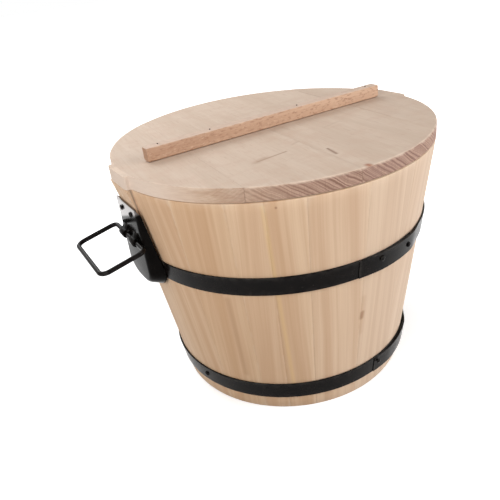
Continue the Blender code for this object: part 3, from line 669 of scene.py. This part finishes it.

# %% [markdown]
# The lid's top is planed and well used: pale long grain with a soft figure and short dashes of
# open pores, and over it a few scuffs and a broad darker band near the bar's right end. The marks
# could be painted on a picture, but as strokes of nodes they stay sharp from near by, and each is
# one row of a table: where it starts and ends, its width, its strength and its colour.

# %% The lid's planed top
LID_MARKS = (
    ((-0.040, -0.0510), (-0.0205, -0.0490), 0.0013, 0.70, (150, 122, 102)),
    ((-0.0415, -0.0515), (-0.034, -0.0490), 0.0034, 0.55, (168, 142, 122)),
    ((-0.003, -0.063), (-0.005, -0.073), 0.0013, 0.9, (128, 100, 84)),
    ((-0.0035, -0.066), (-0.005, -0.073), 0.0024, 0.4, (160, 134, 116)),
    ((-0.012, -0.042), (-0.006, -0.040), 0.0016, 0.35, (170, 146, 128)),
    ((0.020, -0.030), (0.034, -0.027), 0.0016, 0.30, (176, 152, 134)),
    ((0.0668, 0.062), (0.0640, 0.020), 0.0010, 0.45, (158, 132, 114)),
    ((0.0625, 0.000), (0.0590, -0.045), 0.0009, 0.35, (166, 140, 122)),
    # a broad band, darker near the bar's right end
    ((0.074, 0.030), (0.070, -0.030), 0.0140, 0.22, (186, 158, 138)),
    ((-0.0056, -0.0982), (-0.0056, -0.0996), 0.0030, 0.9, (150, 94, 68)))


def lid_top(f, place, spot):
    """Planed long grain with figure and short dashes, the scuffs of use and a darker band near the
    bar.
    """
    colour = srgb(202, 182, 164)
    for share, shade in (
            (f.patches(place, (70.0, 9.0, 70.0), 0.40, 0.64, 0.4, 4.0, 0.6), (183, 160, 140)),
            (f.patches(place, (75.0, 110.0, 75.0), 0.44, 0.66, 0.45, 4.0, 0.6), (192, 166, 147)),
            (f.patches(place, (900.0, 110.0, 900.0), 0.60, 0.74, 0.35), (176, 148, 128)),
            (f.patches(place, (260.0, 12.0, 260.0), 0.46, 0.68, 0.18, 3.0), (200, 174, 154)),
            (f.patches(place, (1500.0, 40.0, 1500.0), 0.4, 0.75, 0.15), (190, 164, 144))):
        colour = f.blend(share, colour, srgb(*shade))
    colour = f.toned(colour)
    for start, end, *rest in LID_MARKS:
        colour = f.marked(colour, spot, (*start, LID_HIGH), (*end, LID_HIGH), *rest)
    return colour


print("lid top with", len(LID_MARKS), "scuffs")

# %% [markdown]
# The lid is four boards edge to edge, sawn round as one disc. Its rim turns from long grain
# beside the handles to end grain between them, where the saw cut the boards across. Three
# materials on three sets of faces would leave hard borders. So one finish mixes them by the
# direction that the surface faces, which is how a real board does it.

# %% Lid wood
LID_TURN, CUT_ANGLE = -4.2, -77.0  # of the seams, and of the way that end grain faces
RIM_WEAR, TOP_WEAR = (0.0014, 0.0003), (0.0016, 0.0004)  # where wear starts and is full
# NEAR_TAB: where the painted light on the rim fades out, from the left tab inwards
TAB_FROM, NEAR_TAB = (0.0975, 0.0990), (-0.098, -0.072)
LAYERED = (1.0, 1.0, 4.0)


def turned(angle, axis="Z", size=3):
    return Matrix.Rotation(math.radians(angle), size, axis)


def lid_rim(f, place, spot):
    """Layered long grain on the rim, with painted light that makes it paler towards the left tab.
    """
    stacked = f.vector("MULTIPLY", place, LAYERED)
    colour = long_grain(f, stacked, (217, 189, 163), (188, 152, 124), 0.6, 0.5)
    # painted light: the rim paler towards the left tab only
    painted_light_by_tab = f.fade(f.along(spot, "X"), *NEAR_TAB, 0.75, 0.0)
    return f.blend(painted_light_by_tab, colour, srgb(232, 212, 196)), f.noise(stacked, FIBRES)


def lid_material():
    f = Finish("wood_lid")
    spot = f.spot()
    back = (0.0, 0.0, math.radians(-LID_TURN))
    place = tree_place(f, f.put("Mapping", Vector=spot, Rotation=back).outputs[0])
    side = f.fade(f.reckon("ABSOLUTE", f.facing(tuple(UP))), 0.35, 0.8, 1.0, 0.0)
    across = f.facing(tuple(turned(CUT_ANGLE) @ Vector((1.0, 0.0, 0.0))))
    cut = f.times(f.fade(f.reckon("ABSOLUTE", across), 0.25, 0.95), side)
    off_tab = f.fade(f.reckon("ABSOLUTE", f.along(spot, "X")), *TAB_FROM, 1.0, 0.0)
    cut = f.times(cut, off_tab)
    rim_colour, rim_fibres = lid_rim(f, place, spot)
    colour = f.blend(side, lid_top(f, place, spot), rim_colour)
    colour = f.blend(cut, colour, end_grain(f, place, f.attribute("pith")))
    flat = f.vector("LENGTH", f.vector("MULTIPLY", spot, (1.0, 1.0, 0.0)), output="Value")
    edge = f.times(f.fade(flat, *(RIM_RADIUS - inside for inside in RIM_WEAR)),
                   f.fade(f.along(spot, "Z"), *(LID_HIGH - below for below in TOP_WEAR)))
    colour = f.worn(edge, colour, (222, 200, 180), 0.5, 150.0)
    fibres = f.noise(place, (1500.0, 40.0, 1500.0))
    height = f.reckon("ADD", fibres, f.times(cut, rim_fibres))
    rough = f.fade(fibres, 0.3, 0.7, 0.6, 0.75)
    return f.finish(colour, rough, height, 0.00005, Specular_IOR_Level=0.3)


lid_wood = lid_material()
print("lid wood:", len(lid_wood.node_tree.nodes), "nodes")

# %% [markdown]
# The lid is round but for a small tab over each handle stave, because the block on that stave
# reaches further out than the wall. Its outline could be cut from a disc with Booleans. Drawn as
# points it also has the small hollow where a tab leaves the round, and the tab's corners,
# rounded as a file leaves them.

# %% The outline of a disc with tabs
DISC_STEPS, CORNER_STEPS = 240, 4
TAB_HALF, TAB_ROUND_X, TAB_ROUND_Y = 0.0138, 0.0012, 0.0045
HOLLOW_TURN, HOLLOW_RUN = 0.045, 0.0010


def curve(first, middle, last, steps):
    """Points on a soft bend from first to last, drawn towards middle."""
    shares = [step / steps for step in range(steps + 1)]
    return [first.lerp(middle, s).lerp(middle.lerp(last, s), s) for s in shares]


def tab_corner(radius, tab_end):
    """The angle where a tab's hollow starts, and the points from there to the tab's end."""
    root = math.asin(TAB_HALF / radius)
    away = root + HOLLOW_TURN
    start = Vector((radius * math.cos(away), radius * math.sin(away)))
    corner = Vector((radius * math.cos(root), TAB_HALF))
    spots = curve(start, corner, corner + Vector((HOLLOW_RUN, 0.0)), CORNER_STEPS)
    for step in range(CORNER_STEPS + 1):
        turn = math.pi / 2.0 * step / CORNER_STEPS
        spots.append(Vector((tab_end - TAB_ROUND_X * (1.0 - math.sin(turn)),
                             TAB_HALF - TAB_ROUND_Y * (1.0 - math.cos(turn)))))
    return away, spots


def disc(radius, clear=0.0):
    """Points round a disc, but for those nearer than the angle clear to the X axis."""
    points = []
    for step in range(DISC_STEPS):
        turn = 2.0 * math.pi * (step + 0.5) / DISC_STEPS - math.pi / 2.0
        if abs((turn + math.pi / 2.0) % math.pi - math.pi / 2.0) > clear:
            points.append((radius * math.cos(turn), radius * math.sin(turn)))
    return points


def tabbed_disc(radius, tab_end):
    """Points round a disc with a tab to tab_end at both ends of the X axis."""
    clear, corner = tab_corner(radius, tab_end)
    corners = [(side_x * x, side_y * y)
               for side_x in (1.0, -1.0) for side_y in (-1.0, 1.0) for x, y in corner]
    return sorted(disc(radius, clear) + corners, key=lambda spot: math.atan2(spot[1], spot[0]))


lid_outline = tabbed_disc(RIM_RADIUS, BLOCK_CREST)
print("lid outline:", len(lid_outline), "points")

# %% [markdown]
# The boards of a lid or a bottom are laid edge to edge and sawn round together. Each could be
# drawn with an outline of its own, but then their arcs might not meet. So each board starts as
# the whole disc, and the saw, a bisecting plane that also closes the cut, takes away what lies
# beyond its two edges. A bevel, strong on the rim and weak on the seams, breaks the edges,
# because a seam between planed boards is hardly seen.

# %% Sawn boards
JOINT, SEAM_BEVEL, SEAM_AREA = 0.00004, 0.12, 0.0002


def saw(bm, across, at, keep_above):
    """Cut along a line at a distance across the boards, drop one side and close the cut."""
    whole = [*bm.verts, *bm.edges, *bm.faces]
    way = across if keep_above else -across
    cut = bmesh.ops.bisect_plane(bm, geom=whole, plane_co=across * at, plane_no=way,
                                 clear_inner=True)
    edges = [item for item in cut["geom_cut"] if isinstance(item, bmesh.types.BMEdge)]
    bmesh.ops.contextual_create(bm, geom=edges)


def is_seam(face, across):
    """Whether a face is one that the saw left between two boards."""
    return (abs(face.normal.dot(across)) > 0.999 and abs(face.normal.z) < 0.01
            and face.calc_area() > SEAM_AREA)


def make_board(node, rings, edges, turn, softness, body, values):
    """A board from a stack of outlines with their heights, sawn at its two edges."""
    points = [Vector((x, y, z)) for outline, z in rings for x, y in outline]
    item = new_piece("wood_" + node, points, skin(len(rings[0][0]), len(rings)), 30.0)
    across = turned(turn) @ Vector((1.0, 0.0, 0.0))
    bm = bmesh.new()
    bm.from_mesh(item.data)
    low, high = edges
    if low is not None:
        saw(bm, across, low + JOINT, True)
    if high is not None:
        saw(bm, across, high - JOINT, False)
    bmesh.ops.recalc_face_normals(bm, faces=bm.faces[:])
    weight = bm.edges.layers.float.new("bevel_weight_edge")
    for edge in bm.edges:
        if len(edge.link_faces) == 2 and edge.calc_face_angle(0.0) > math.radians(40.0):
            seam = any(is_seam(face, across) for face in edge.link_faces)
            edge[weight] = SEAM_BEVEL if seam else 1.0
    bm.to_mesh(item.data)
    bm.free()
    for key, value in zip(("board", "tone", "pith"), values):
        give(item.data, key, [value] * len(item.data.vertices))
    bevel = item.modifiers.new("broken_edges", "BEVEL")
    bevel.limit_method = "WEIGHT"
    bevel.width, bevel.segments = softness, 3
    item.data.shade_smooth()
    item.data.set_sharp_from_angle(angle=math.radians(30.0))
    dress(item, lid_wood, body, node)


print("a seam is", round(2000.0 * JOINT, 3), "mm wide")

# %% [markdown]
# Four boards make the lid. Their seams run across the line of the handles, a little turned, as
# they came to lie when the disc was sawn. One disc with lines drawn on it would look much the
# same from afar, but its grain would run on across the lines. As four pieces the boards come
# from four planks, each with its own tone and its own heart for the rings in its end grain.

# %% The four lid boards
LID_SEAMS = (None, -0.058, -0.003, 0.062, None)
LID_TONES = (1.0, 1.0, 1.0, 0.975)
LID_HEARTS, LID_STEP = (-0.090, -0.035, -0.005, 0.004), 0.29
rings = [(lid_outline, LID_LOW), (lid_outline, LID_HIGH)]
for number in range(4):
    values = (number * LID_STEP, LID_TONES[number], LID_HEARTS[number])
    make_board(f"lid_board_{number + 1}", rings, LID_SEAMS[number:number + 2], LID_TURN, 0.0007,
               "lid", values)
print("lid boards:", 4)

# %% [markdown]
# The bottom is three boards whose edge is thinned to a tongue that sits in the staves' groove.
# A plain disc would do under a closed lid, but with the lid off the seams are seen. The same
# saw makes them, from a stack of outlines that is narrow below, wide at the tongue and a little
# narrower on top. They share the lid's finish, as they come from the same planks.

# %% The three bottom boards, in their groove
TONGUE_LOW, TONGUE_HIGH, BOTTOM_THICK, BOTTOM_INSET = 0.0014, 0.0072, 0.008, 0.0008
tongue = inner_radius(BOTTOM_LEVEL) + GROOVE_DEPTH - GAP
levels = ((inner_radius(0.0) - BOTTOM_INSET, 0.0), (inner_radius(BOTTOM_LEVEL) - GAP, TONGUE_LOW),
          (tongue, TONGUE_LOW), (tongue, TONGUE_HIGH), (tongue - BOTTOM_INSET, BOTTOM_THICK))
rings = [(disc(radius), height) for radius, height in levels]
BOTTOM_SEAMS = (None, -0.33 * tongue, 0.36 * tongue, None)
for number in range(3):
    values = (0.5 + number * 0.17, 0.98, 0.01 * number)  # place in the tree, tone and heart
    make_board(f"bottom_board_{number + 1}", rings, BOTTOM_SEAMS[number:number + 2], 0.0, 0.0002,
               "tub", values)
print("bottom boards:", 3)

# %% [markdown]
# The bar is a sawn stick, darker and pinker on its sides, where the saw left it rough, and paler
# on its planed top. Two materials would meet in too straight a line, so one finish holds both
# and mixes them by the direction of the surface. Dark and pale flecks, short clouds drawn out
# along the stick, give the torn fibres of sawn wood.

# %% Bar wood
BAR_LOW, BAR_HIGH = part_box("lid_bar")


def bar_material():
    f = Finish("wood_bar")
    place, spot = tree_place(f, f.attribute("grain", "Vector")), f.spot()
    side = long_grain(f, place, (198, 164, 138), (170, 133, 107), 0.3, 0.4)
    # painted shade: the sides darker towards the bar's left end
    shade = f.fade(f.along(spot, "X"), BAR_LOW.x, BAR_HIGH.x - 0.03, 0.62, 0.0)
    side = f.blend(shade, side, srgb(152, 116, 92))
    flecks = f.patches(place, (1000.0, 330.0, 1000.0), 0.52, 0.66, 0.65, 3.0)
    side = f.blend(flecks, side, srgb(146, 108, 85))
    pale = f.patches(place, (900.0, 380.0, 900.0), 0.56, 0.72, 0.35)
    side = f.blend(pale, side, srgb(204, 174, 150))
    top = long_grain(f, place, (202, 179, 162), (184, 157, 138), 0.5, 0.3)
    colour = f.blend(f.fade(f.facing(tuple(UP)), 0.5, 0.9), side, top)
    edge = f.fade(f.along(spot, "Z"), BAR_HIGH.z - 0.0010, BAR_HIGH.z - 0.0002)
    colour = f.worn(edge, colour, (208, 183, 163), 0.5, 260.0)
    fibres = f.noise(place, FIBRES)
    rough = f.fade(fibres, 0.3, 0.7, 0.6, 0.78)
    return f.finish(colour, rough, fibres, 0.00008, Specular_IOR_Level=0.3)


bar_wood = bar_material()
print("bar wood:", len(bar_wood.node_tree.nodes), "nodes")

# %% [markdown]
# The bar holds the four lid boards together, with a small nail into each. A stretched cube with
# a bevel would do from afar. Here the section is swept along the stick in short steps with a
# slight unevenness, because no saw leaves a perfect edge, and the grain attribute is given along
# with the points.

# %% Bar and its nails
BAR_STEPS, BAR_SOFT, BAR_UNEVEN, END_STEP = 80, 0.0006, 0.00010, 0.0015
LONG_WAVE, SHORT_WAVE, BAR_SLOPE, BAR_BOARD = 77.0, 190.0, 0.02, 0.63
END_INSETS = (0.0004, 0.0001, 0.0)
BAR_NAIL = (0.00045, 0.0001, 0.0004, 0.0082)
BAR_NAIL_SUNK = 0.0003


def bar_section(low_y, high_y, low_z, high_z):
    """The stick's section, with plain corners below and rounder ones on top."""
    soft, eased = BAR_SOFT, EASED * BAR_SOFT
    return ((low_y + soft, low_z), (high_y - soft, low_z), (high_y, low_z + soft),
            (high_y, high_z - soft), (high_y - eased, high_z - eased), (high_y - soft, high_z),
            (low_y + soft, high_z), (low_y + eased, high_z - eased), (low_y, high_z - soft),
            (low_y, low_z + soft))


def make_bar():
    points, grain = [], []
    for step in range(BAR_STEPS + 1):
        end = min(step, BAR_STEPS - step)
        inset = END_INSETS[min(end, 2)]
        x = BAR_LOW.x + (BAR_HIGH.x - BAR_LOW.x) * step / BAR_STEPS
        if end == 1:
            x += math.copysign(END_STEP, step - BAR_STEPS / 2.0)
        wave = BAR_UNEVEN * (1.0 + math.sin(x * SHORT_WAVE) * math.sin(x * LONG_WAVE + 1.0))
        section = bar_section(BAR_LOW.y + inset + wave, BAR_HIGH.y - inset - wave * 0.7,
                              BAR_LOW.z + inset, BAR_HIGH.z - inset - wave * 0.6)
        for y, z in section:
            points.append(Vector((x, y, z)))
            grain.append(Vector((y + BAR_SLOPE * x, x, z)))
    item = new_piece("wood_lid_bar", points, skin(len(section), BAR_STEPS + 1), grain=grain,
                     board=[BAR_BOARD] * len(points))
    dress(item, bar_wood, "lid", "lid_bar")


make_bar()
for number in range(1, 5):
    low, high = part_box(f"bar_nail_{number}")
    seat = Vector(((low.x + high.x) / 2.0, (low.y + high.y) / 2.0, high.z - BAR_NAIL_SUNK))
    nail_piece(f"bar_nail_{number}", seat, UP, "lid", BAR_NAIL)
print("bar with 4 nails")

# %% [markdown]
# The handle plate is sheet iron pressed over a form: a flat front, narrow at the top and lobed
# below, whose edge turns back to the wall. A subdivided plane would blur its bends, so its
# outline is drawn as points, and from each point a short curved section runs from the front
# back to the edge.

# %% The handle plate's outline and section
PLATE_THICK, EDGE_CLEARANCE = 0.0012, 0.0006
TOP_HALF, SHOULDER_HALF, LOBE_HALF = 0.0152, 0.0172, 0.0192
SHOULDER_HEIGHT, LOBE_HEIGHT, PLATE_FOOT = PIVOT_HEIGHT + 0.010, UPPER_MID, UPPER_MID - 0.015
PLATE_BEND, BEND_AT_TOP, SIDE_DRAFT, FOOT_DRAFT = 0.0030, 0.15, 0.0010, 0.0055
BEND_END, DEEPENING = 0.35, 3.0
PLATE_BACK = BLOCK_BACK + GAP
PLATE_FRONT = PLATE_BACK + PLATE_THICK
SHOULDER_STEPS, SIDE_STEPS, FOOT_STEPS, BEND_STEPS = 12, 20, 24, 8


def plate_rim():
    """Right half of the outline from the top corner to the foot, as across and height."""
    points = []
    for step in range(SHOULDER_STEPS + 1):
        share = step / SHOULDER_STEPS
        across = TOP_HALF + (SHOULDER_HALF - TOP_HALF) * math.sin(share * math.pi / 2.0)
        points.append(Vector((across, PLATE_TOP + (SHOULDER_HEIGHT - PLATE_TOP) * share)))
    shoulder, lobe = points[-1], Vector((LOBE_HALF, LOBE_HEIGHT))
    points += [shoulder.lerp(lobe, step / SIDE_STEPS) for step in range(1, SIDE_STEPS + 1)]
    for step in range(1, FOOT_STEPS + 1):
        turn = math.pi / 2.0 * step / FOOT_STEPS
        height = LOBE_HEIGHT - (LOBE_HEIGHT - PLATE_FOOT) * math.sin(turn)
        points.append(Vector((LOBE_HALF * math.cos(turn), height)))
    return points


def plate_section(point):
    """The sheet from its flat front back to its edge, at one point of the outline."""
    below = limited((SHOULDER_HEIGHT - point.y) / (SHOULDER_HEIGHT - LOBE_HEIGHT))
    started = min(1.0, (PLATE_TOP - point.y) / (PLATE_TOP - SHOULDER_HEIGHT))
    foot = limited((LOBE_HEIGHT - point.y) / (LOBE_HEIGHT - PLATE_FOOT))
    inward = Vector((-point.x, foot * (LOBE_HEIGHT - PLATE_FOOT))).normalized()
    draft = SIDE_DRAFT * started + (FOOT_DRAFT - SIDE_DRAFT) * foot
    corner = point + inward * draft * (0.5 + 0.5 * below)
    start = corner + inward * PLATE_BEND * (BEND_AT_TOP + (1.0 - BEND_AT_TOP) * started)
    clear = wall_radius(point.y) + GAP + HOOP_THICK + EDGE_CLEARANCE
    deepest = math.sqrt(clear * clear - point.x * point.x)
    shallow = PLATE_FRONT - PLATE_THICK / 2.0
    back = shallow + (deepest - shallow) * min(1.0, started * DEEPENING)
    first, middle = Vector((*start, PLATE_FRONT)), Vector((*corner, PLATE_FRONT))
    edge = Vector((*point, back))
    after = middle.lerp(edge, BEND_END)
    return curve(first, middle, after, BEND_STEPS) + [after.lerp(edge, 0.5), edge]


def placed(spot, facing):
    """From across, height and distance to the frame, on the side that faces +X or -X."""
    return turned(facing) @ Vector((spot.z, spot.x, FOOT + spot.y))


print("plate from", round(PLATE_FOOT, 4), "to", PLATE_TOP, "pivot at", round(PIVOT_HEIGHT, 4))

# %% [markdown]
# Both plates are pressed in the same form, so one function makes them, and only the side that
# they face differs. The inside of the sheet could be drawn as well, but its bends would have to
# be worked out twice. So the sheet is drawn without thickness, Solidify gives it its 1.2 mm from
# the front inwards, and a small bevel rounds the cut edge.

# %% Handle plates
CUT_BEVEL = 0.00025


def make_plate(side, facing):
    right = [plate_section(point) for point in plate_rim()]
    left = [[Vector((-spot.x, spot.y, spot.z)) for spot in row] for row in reversed(right[:-1])]
    rows = right + left
    width = len(rows[0])
    points = [placed(spot, facing) for row in rows for spot in row]
    faces = [tuple(number * width for number in range(len(rows)))]
    for row in range(len(rows) - 1):
        for a in range(row * width, row * width + width - 1):
            faces.append((a, a + 1, a + width + 1, a + width))
    item = new_piece(f"iron_handle_plate_{side}", points, faces, 30.0)
    if item.data.polygons[0].normal.dot(turned(facing) @ Vector((1.0, 0.0, 0.0))) < 0.0:
        item.data.flip_normals()
    sheet = item.modifiers.new("sheet", "SOLIDIFY")
    sheet.thickness, sheet.offset, sheet.use_even_offset = PLATE_THICK, -1.0, True
    bevel = item.modifiers.new("cut_edge", "BEVEL")
    bevel.width, bevel.segments, bevel.angle_limit = CUT_BEVEL, 2, math.radians(50.0)
    dress(item, gloss_iron, "tub", f"handle_plate_{side}")


for side, facing in HANDLES:
    make_plate(side, facing)
print("plates:", len(HANDLES))

# %% [markdown]
# Two narrow straps are pressed up out of the plate, and the bail's wire turns under them. Bent
# strips with Solidify would need care at the feet, so each strap's side view is drawn once, with
# flat feet and a round back, and pushed out to its width. The plate's three nails are set here
# too: two above the straps, and one lower down between them.

# %% Straps and plate nails
WIRE_RADIUS, PIN_CLEARANCE = 0.0014, 0.0003
STRAP_THICK, STRAP_WIDTH, STRAP_NEAR, STRAP_FAR = 0.0010, 0.0105, 0.0045, 0.0115
STRAP_SOFT, STRAP_SHRINK, ARC_STEPS = 0.00022, 60.0, 20
HEEL_SUNK, HEEL_DROP, HEEL_IN = 0.6, 0.0002, 0.0004
PIVOT_RISE = PLATE_THICK + PIN_CLEARANCE + WIRE_RADIUS
PLATE_NAILS = ((-0.0075, PLATE_TOP - 0.005), (0.0075, PLATE_TOP - 0.005),
               (0.0, PIVOT_HEIGHT - 0.0055))


def strap_side():
    """Outline of a strap from the side, as height and distance."""
    tunnel = WIRE_RADIUS + PIN_CLEARANCE
    back, foot = tunnel + STRAP_THICK, STRAP_WIDTH / 2.0
    low, shelf = PLATE_THICK * HEEL_SUNK, PLATE_THICK + STRAP_THICK / 2.0
    arc = [math.pi * step / ARC_STEPS for step in range(ARC_STEPS + 1)]
    outer = [(back * math.cos(turn), max(shelf, PIVOT_RISE + back * math.sin(turn)))
             for turn in reversed(arc)]
    inner = [(tunnel * math.cos(turn), PIVOT_RISE + tunnel * math.sin(turn)) for turn in arc]
    heel = [(-tunnel, low), (-foot, low), (-foot, shelf - HEEL_DROP), (-foot + HEEL_IN, shelf)]
    toe = [(-up, out) for up, out in reversed(heel)]
    return heel + outer + toe + inner


def make_strap(name, side, facing, start, end):
    outline = strap_side()
    points = []
    for inset, across in ((STRAP_SOFT, start), (0.0, start + STRAP_SOFT),
                          (0.0, end - STRAP_SOFT), (STRAP_SOFT, end)):
        for up, out in outline:
            height = PIVOT_HEIGHT + up * (1.0 - inset * STRAP_SHRINK)
            points.append(placed(Vector((across, height, PLATE_BACK + out - inset * 0.5)), facing))
    item = new_piece(name, points, skin(len(outline), 4), 40.0)
    dress(item, gloss_iron, "tub", f"handle_plate_{side}")


for side, facing in HANDLES:
    make_strap(f"iron_strap_{side}_1", side, facing, -STRAP_FAR, -STRAP_NEAR)
    make_strap(f"iron_strap_{side}_2", side, facing, STRAP_NEAR, STRAP_FAR)
for side, facing in HANDLES:
    for number, (across, height) in enumerate(PLATE_NAILS, 1):
        seat = placed(Vector((across, height, PLATE_FRONT + GAP)), facing)
        out = turned(facing) @ Vector((1.0, 0.0, 0.0))
        nail_piece(f"plate_nails_{side}_{number}", seat, out, "tub")
print("straps and plate nails:", 4, 6)

# %% [markdown]
# The bail is one piece of round wire bent to a ring with rounded corners. A curve with a bevel
# would do, but a tube swept point by point keeps the wire's section even in the bends. Its rest
# angle is the frame's: one bail stands out from the wall, and the other hangs against it.

# %% Bails
BAIL_HALF, BAIL_REACH, INNER_BEND, OUTER_BEND = 0.0250, 0.0268, 0.0035, 0.0050
CORNERS = (  # x away from the hinge, y along it, bend, and the angle at which the bend starts
    (0.0, -BAIL_HALF, INNER_BEND, 180.0), (BAIL_REACH, -BAIL_HALF, OUTER_BEND, 270.0),
    (BAIL_REACH, BAIL_HALF, OUTER_BEND, 0.0), (0.0, BAIL_HALF, INNER_BEND, 90.0))
TURN_STEPS, WIRE_SIDES = 10, 18


def bail_route():
    """Middle line of the wire in the bail's own plane."""
    route = []
    for x, y, bend, start in CORNERS:
        middle = Vector((x + (bend if x == 0.0 else -bend), y - math.copysign(bend, y)))
        for step in range(TURN_STEPS + 1):
            turn = math.radians(start + 90.0 * step / TURN_STEPS)
            route.append(middle + Vector((math.cos(turn), math.sin(turn))) * bend)
    return route


def make_bail(side, facing, angle):
    """A bail turned up by an angle from straight out."""
    route = bail_route()
    hinge = Matrix.Translation((PLATE_BACK + PIVOT_RISE, 0.0, FOOT + PIVOT_HEIGHT))
    stance = turned(facing, size=4) @ hinge @ turned(-angle, "Y", 4)
    points = []
    for number, spot in enumerate(route):
        along = (route[(number + 1) % len(route)] - route[number - 1]).normalized()
        out = Vector((along.y, -along.x)) * WIRE_RADIUS
        for step in range(WIRE_SIDES):
            turn = 2.0 * math.pi * step / WIRE_SIDES
            ring = spot + out * math.cos(turn)
            points.append(stance @ Vector((ring.x, ring.y, math.sin(turn) * WIRE_RADIUS)))
    item = new_piece(f"iron_bail_{side}", points, skin(WIRE_SIDES, len(route), True), 60.0)
    dress(item, black_iron, f"bail_{side}", f"bail_{side}")


BAIL_ANGLES = {"left": -11.5, "right": -90.0}
for side, facing in HANDLES:
    make_bail(side, facing, BAIL_ANGLES[side])
print("bails:", len(HANDLES))

# %% [markdown]
# The tub stands on a plain white floor in soft studio light, and the floor keeps its shadow.
# More light could make the floor white, but it would bleach the wood, so the white comes from
# Light Path instead. The world is white where the camera or a reflection sees it and dim where
# it lights the wood. The floor glows for the same rays, less near the tub, where the shadow
# lies, and is grey for all other light.

# %% Floor and world
FLOOR_REACH = 6.0
GLOW_NEAR, GLOW_FAR, GLOW_BY_TUB = 0.10, 0.40, 0.45
WORLD_LEVEL = 0.38


def seen_ray(tree):
    """1 for a ray from the camera or from a reflection, else 0."""
    path = tree.nodes.new("ShaderNodeLightPath")
    either = tree.nodes.new("ShaderNodeMath")
    either.operation = "MAXIMUM"
    tree.links.new(path.outputs["Is Camera Ray"], either.inputs[0])
    tree.links.new(path.outputs["Is Glossy Ray"], either.inputs[1])
    return either.outputs[0]


def grey(level):
    return (level, level, level, 1.0)


def make_floor():
    f = Finish("floor")
    spot, seen = f.spot(), seen_ray(f.tree)
    distance = f.vector("LENGTH", spot, output="Value")
    glow = f.fade(distance, GLOW_NEAR, GLOW_FAR, GLOW_BY_TUB, 1.0)
    f.feed(f.shader.inputs["Emission Strength"], f.times(seen, glow))
    f.shader.inputs["Emission Color"].default_value = grey(1.0)
    paper = f.blend(f.noise(spot, 40.0), grey(0.80), grey(0.82))
    f.finish(f.blend(seen, grey(0.22), paper), 0.9)
    mesh = bpy.data.meshes.new("floor")
    corners = ((-1, -1), (1, -1), (1, 1), (-1, 1))
    points = [(x * FLOOR_REACH, y * FLOOR_REACH, 0.0) for x, y in corners]
    mesh.from_pydata(points, [], [(0, 1, 2, 3)])
    item = bpy.data.objects.new("floor", mesh)
    item.data.materials.append(f.material)
    item.location.z = FOOT
    bpy.context.scene.collection.objects.link(item)


def make_world(level):
    world = bpy.data.worlds.new("studio")
    bpy.context.scene.world = world
    world.use_nodes = True
    tree = world.node_tree
    sky = tree.nodes["Background"]
    sky.inputs["Color"].default_value = grey(1.0)
    dim = tree.nodes.new("ShaderNodeMapRange")
    dim.inputs["To Min"].default_value, dim.inputs["To Max"].default_value = level, 1.0
    tree.links.new(seen_ray(tree), dim.inputs["Value"])
    tree.links.new(dim.outputs[0], sky.inputs["Strength"])


make_floor()
make_world(WORLD_LEVEL)
print("floor at", round(FOOT, 4), "and world at", WORLD_LEVEL)

# %% [markdown]
# Soft light shows wood best, so all three lamps are large discs. The key stands on the right, in
# front and above, and lights the right side of the wall most. A small fill stands close on the
# left, and a third lamp behind lifts the lid's top. One bright lamp would be simpler, but its
# hard shadow would hide the grain.

# %% Lamps
AIM = Vector((0.0, 0.0, 0.1))
LAMPS = (  # name, place, size in metres and power in watts
    ("key", (0.82, -0.88, 0.44), 1.0, 12.8),
    ("fill", (-0.42, -0.26, 0.34), 0.35, 1.52),
    ("top", (-0.10, 0.38, 0.46), 0.4, 1.55))
for name, place, size, power in LAMPS:
    light = bpy.data.lights.new(name, "AREA")
    light.shape, light.size, light.energy = "DISK", size, power
    item = bpy.data.objects.new(name, light)
    item.location = place
    item.visible_camera = False
    item.rotation_euler = (AIM - Vector(place)).to_track_quat("-Z", "Y").to_euler()
    bpy.context.scene.collection.objects.link(item)
print("lamps:", len(LAMPS))

# %% [markdown]
# The camera was worked out from the picture: the lid's ellipse, the hoops and the bar's corners
# give its height, its distance, its turn about the tub and the slight tilt of the picture. Moving
# a camera by eye until it looks right would hide errors in the sizes. The focal length was found
# in pixels of the picture, and Blender takes it in millimetres on the sensor.

# %% Camera
DISTANCE, ELEVATION, ROLL, ORBIT = 0.3882, math.radians(27.85), math.radians(7.75), -27.2
LOOKS_AT = Vector((-0.0225, 0.0, 0.0759))
PICTURE_WIDTH, LENS_PIXELS, SENSOR = 500.0, 554.1, 36.0


def photo_camera():
    away = Vector((0.0, -DISTANCE * math.cos(ELEVATION), DISTANCE * math.sin(ELEVATION)))
    eye, ahead = LOOKS_AT + away, -away.normalized()
    right = Vector((1.0, 0.0, 0.0))
    up = right.cross(ahead)
    side = right * math.cos(ROLL) - up * math.sin(ROLL)
    rise = right * math.sin(ROLL) + up * math.cos(ROLL)
    place = Matrix.Translation(eye) @ Matrix((side, rise, -ahead)).transposed().to_4x4()
    return Matrix.Translation((0.0, 0.0, FOOT)) @ turned(ORBIT, size=4) @ place


lens = bpy.data.cameras.new("photo_camera")
lens.sensor_width = SENSOR
lens.lens = LENS_PIXELS / PICTURE_WIDTH * SENSOR
camera = bpy.data.objects.new("photo_camera", lens)
camera.matrix_world = photo_camera()
bpy.context.scene.collection.objects.link(camera)
bpy.context.scene.camera = camera
bpy.context.scene.view_settings.view_transform = "Standard"
print("camera at", tuple(round(v, 4) for v in camera.matrix_world.translation))

# %% [markdown] The dressed tub's box has to agree with that of the solids, because a piece that
# reaches further than its solid would pass through things without touching them.
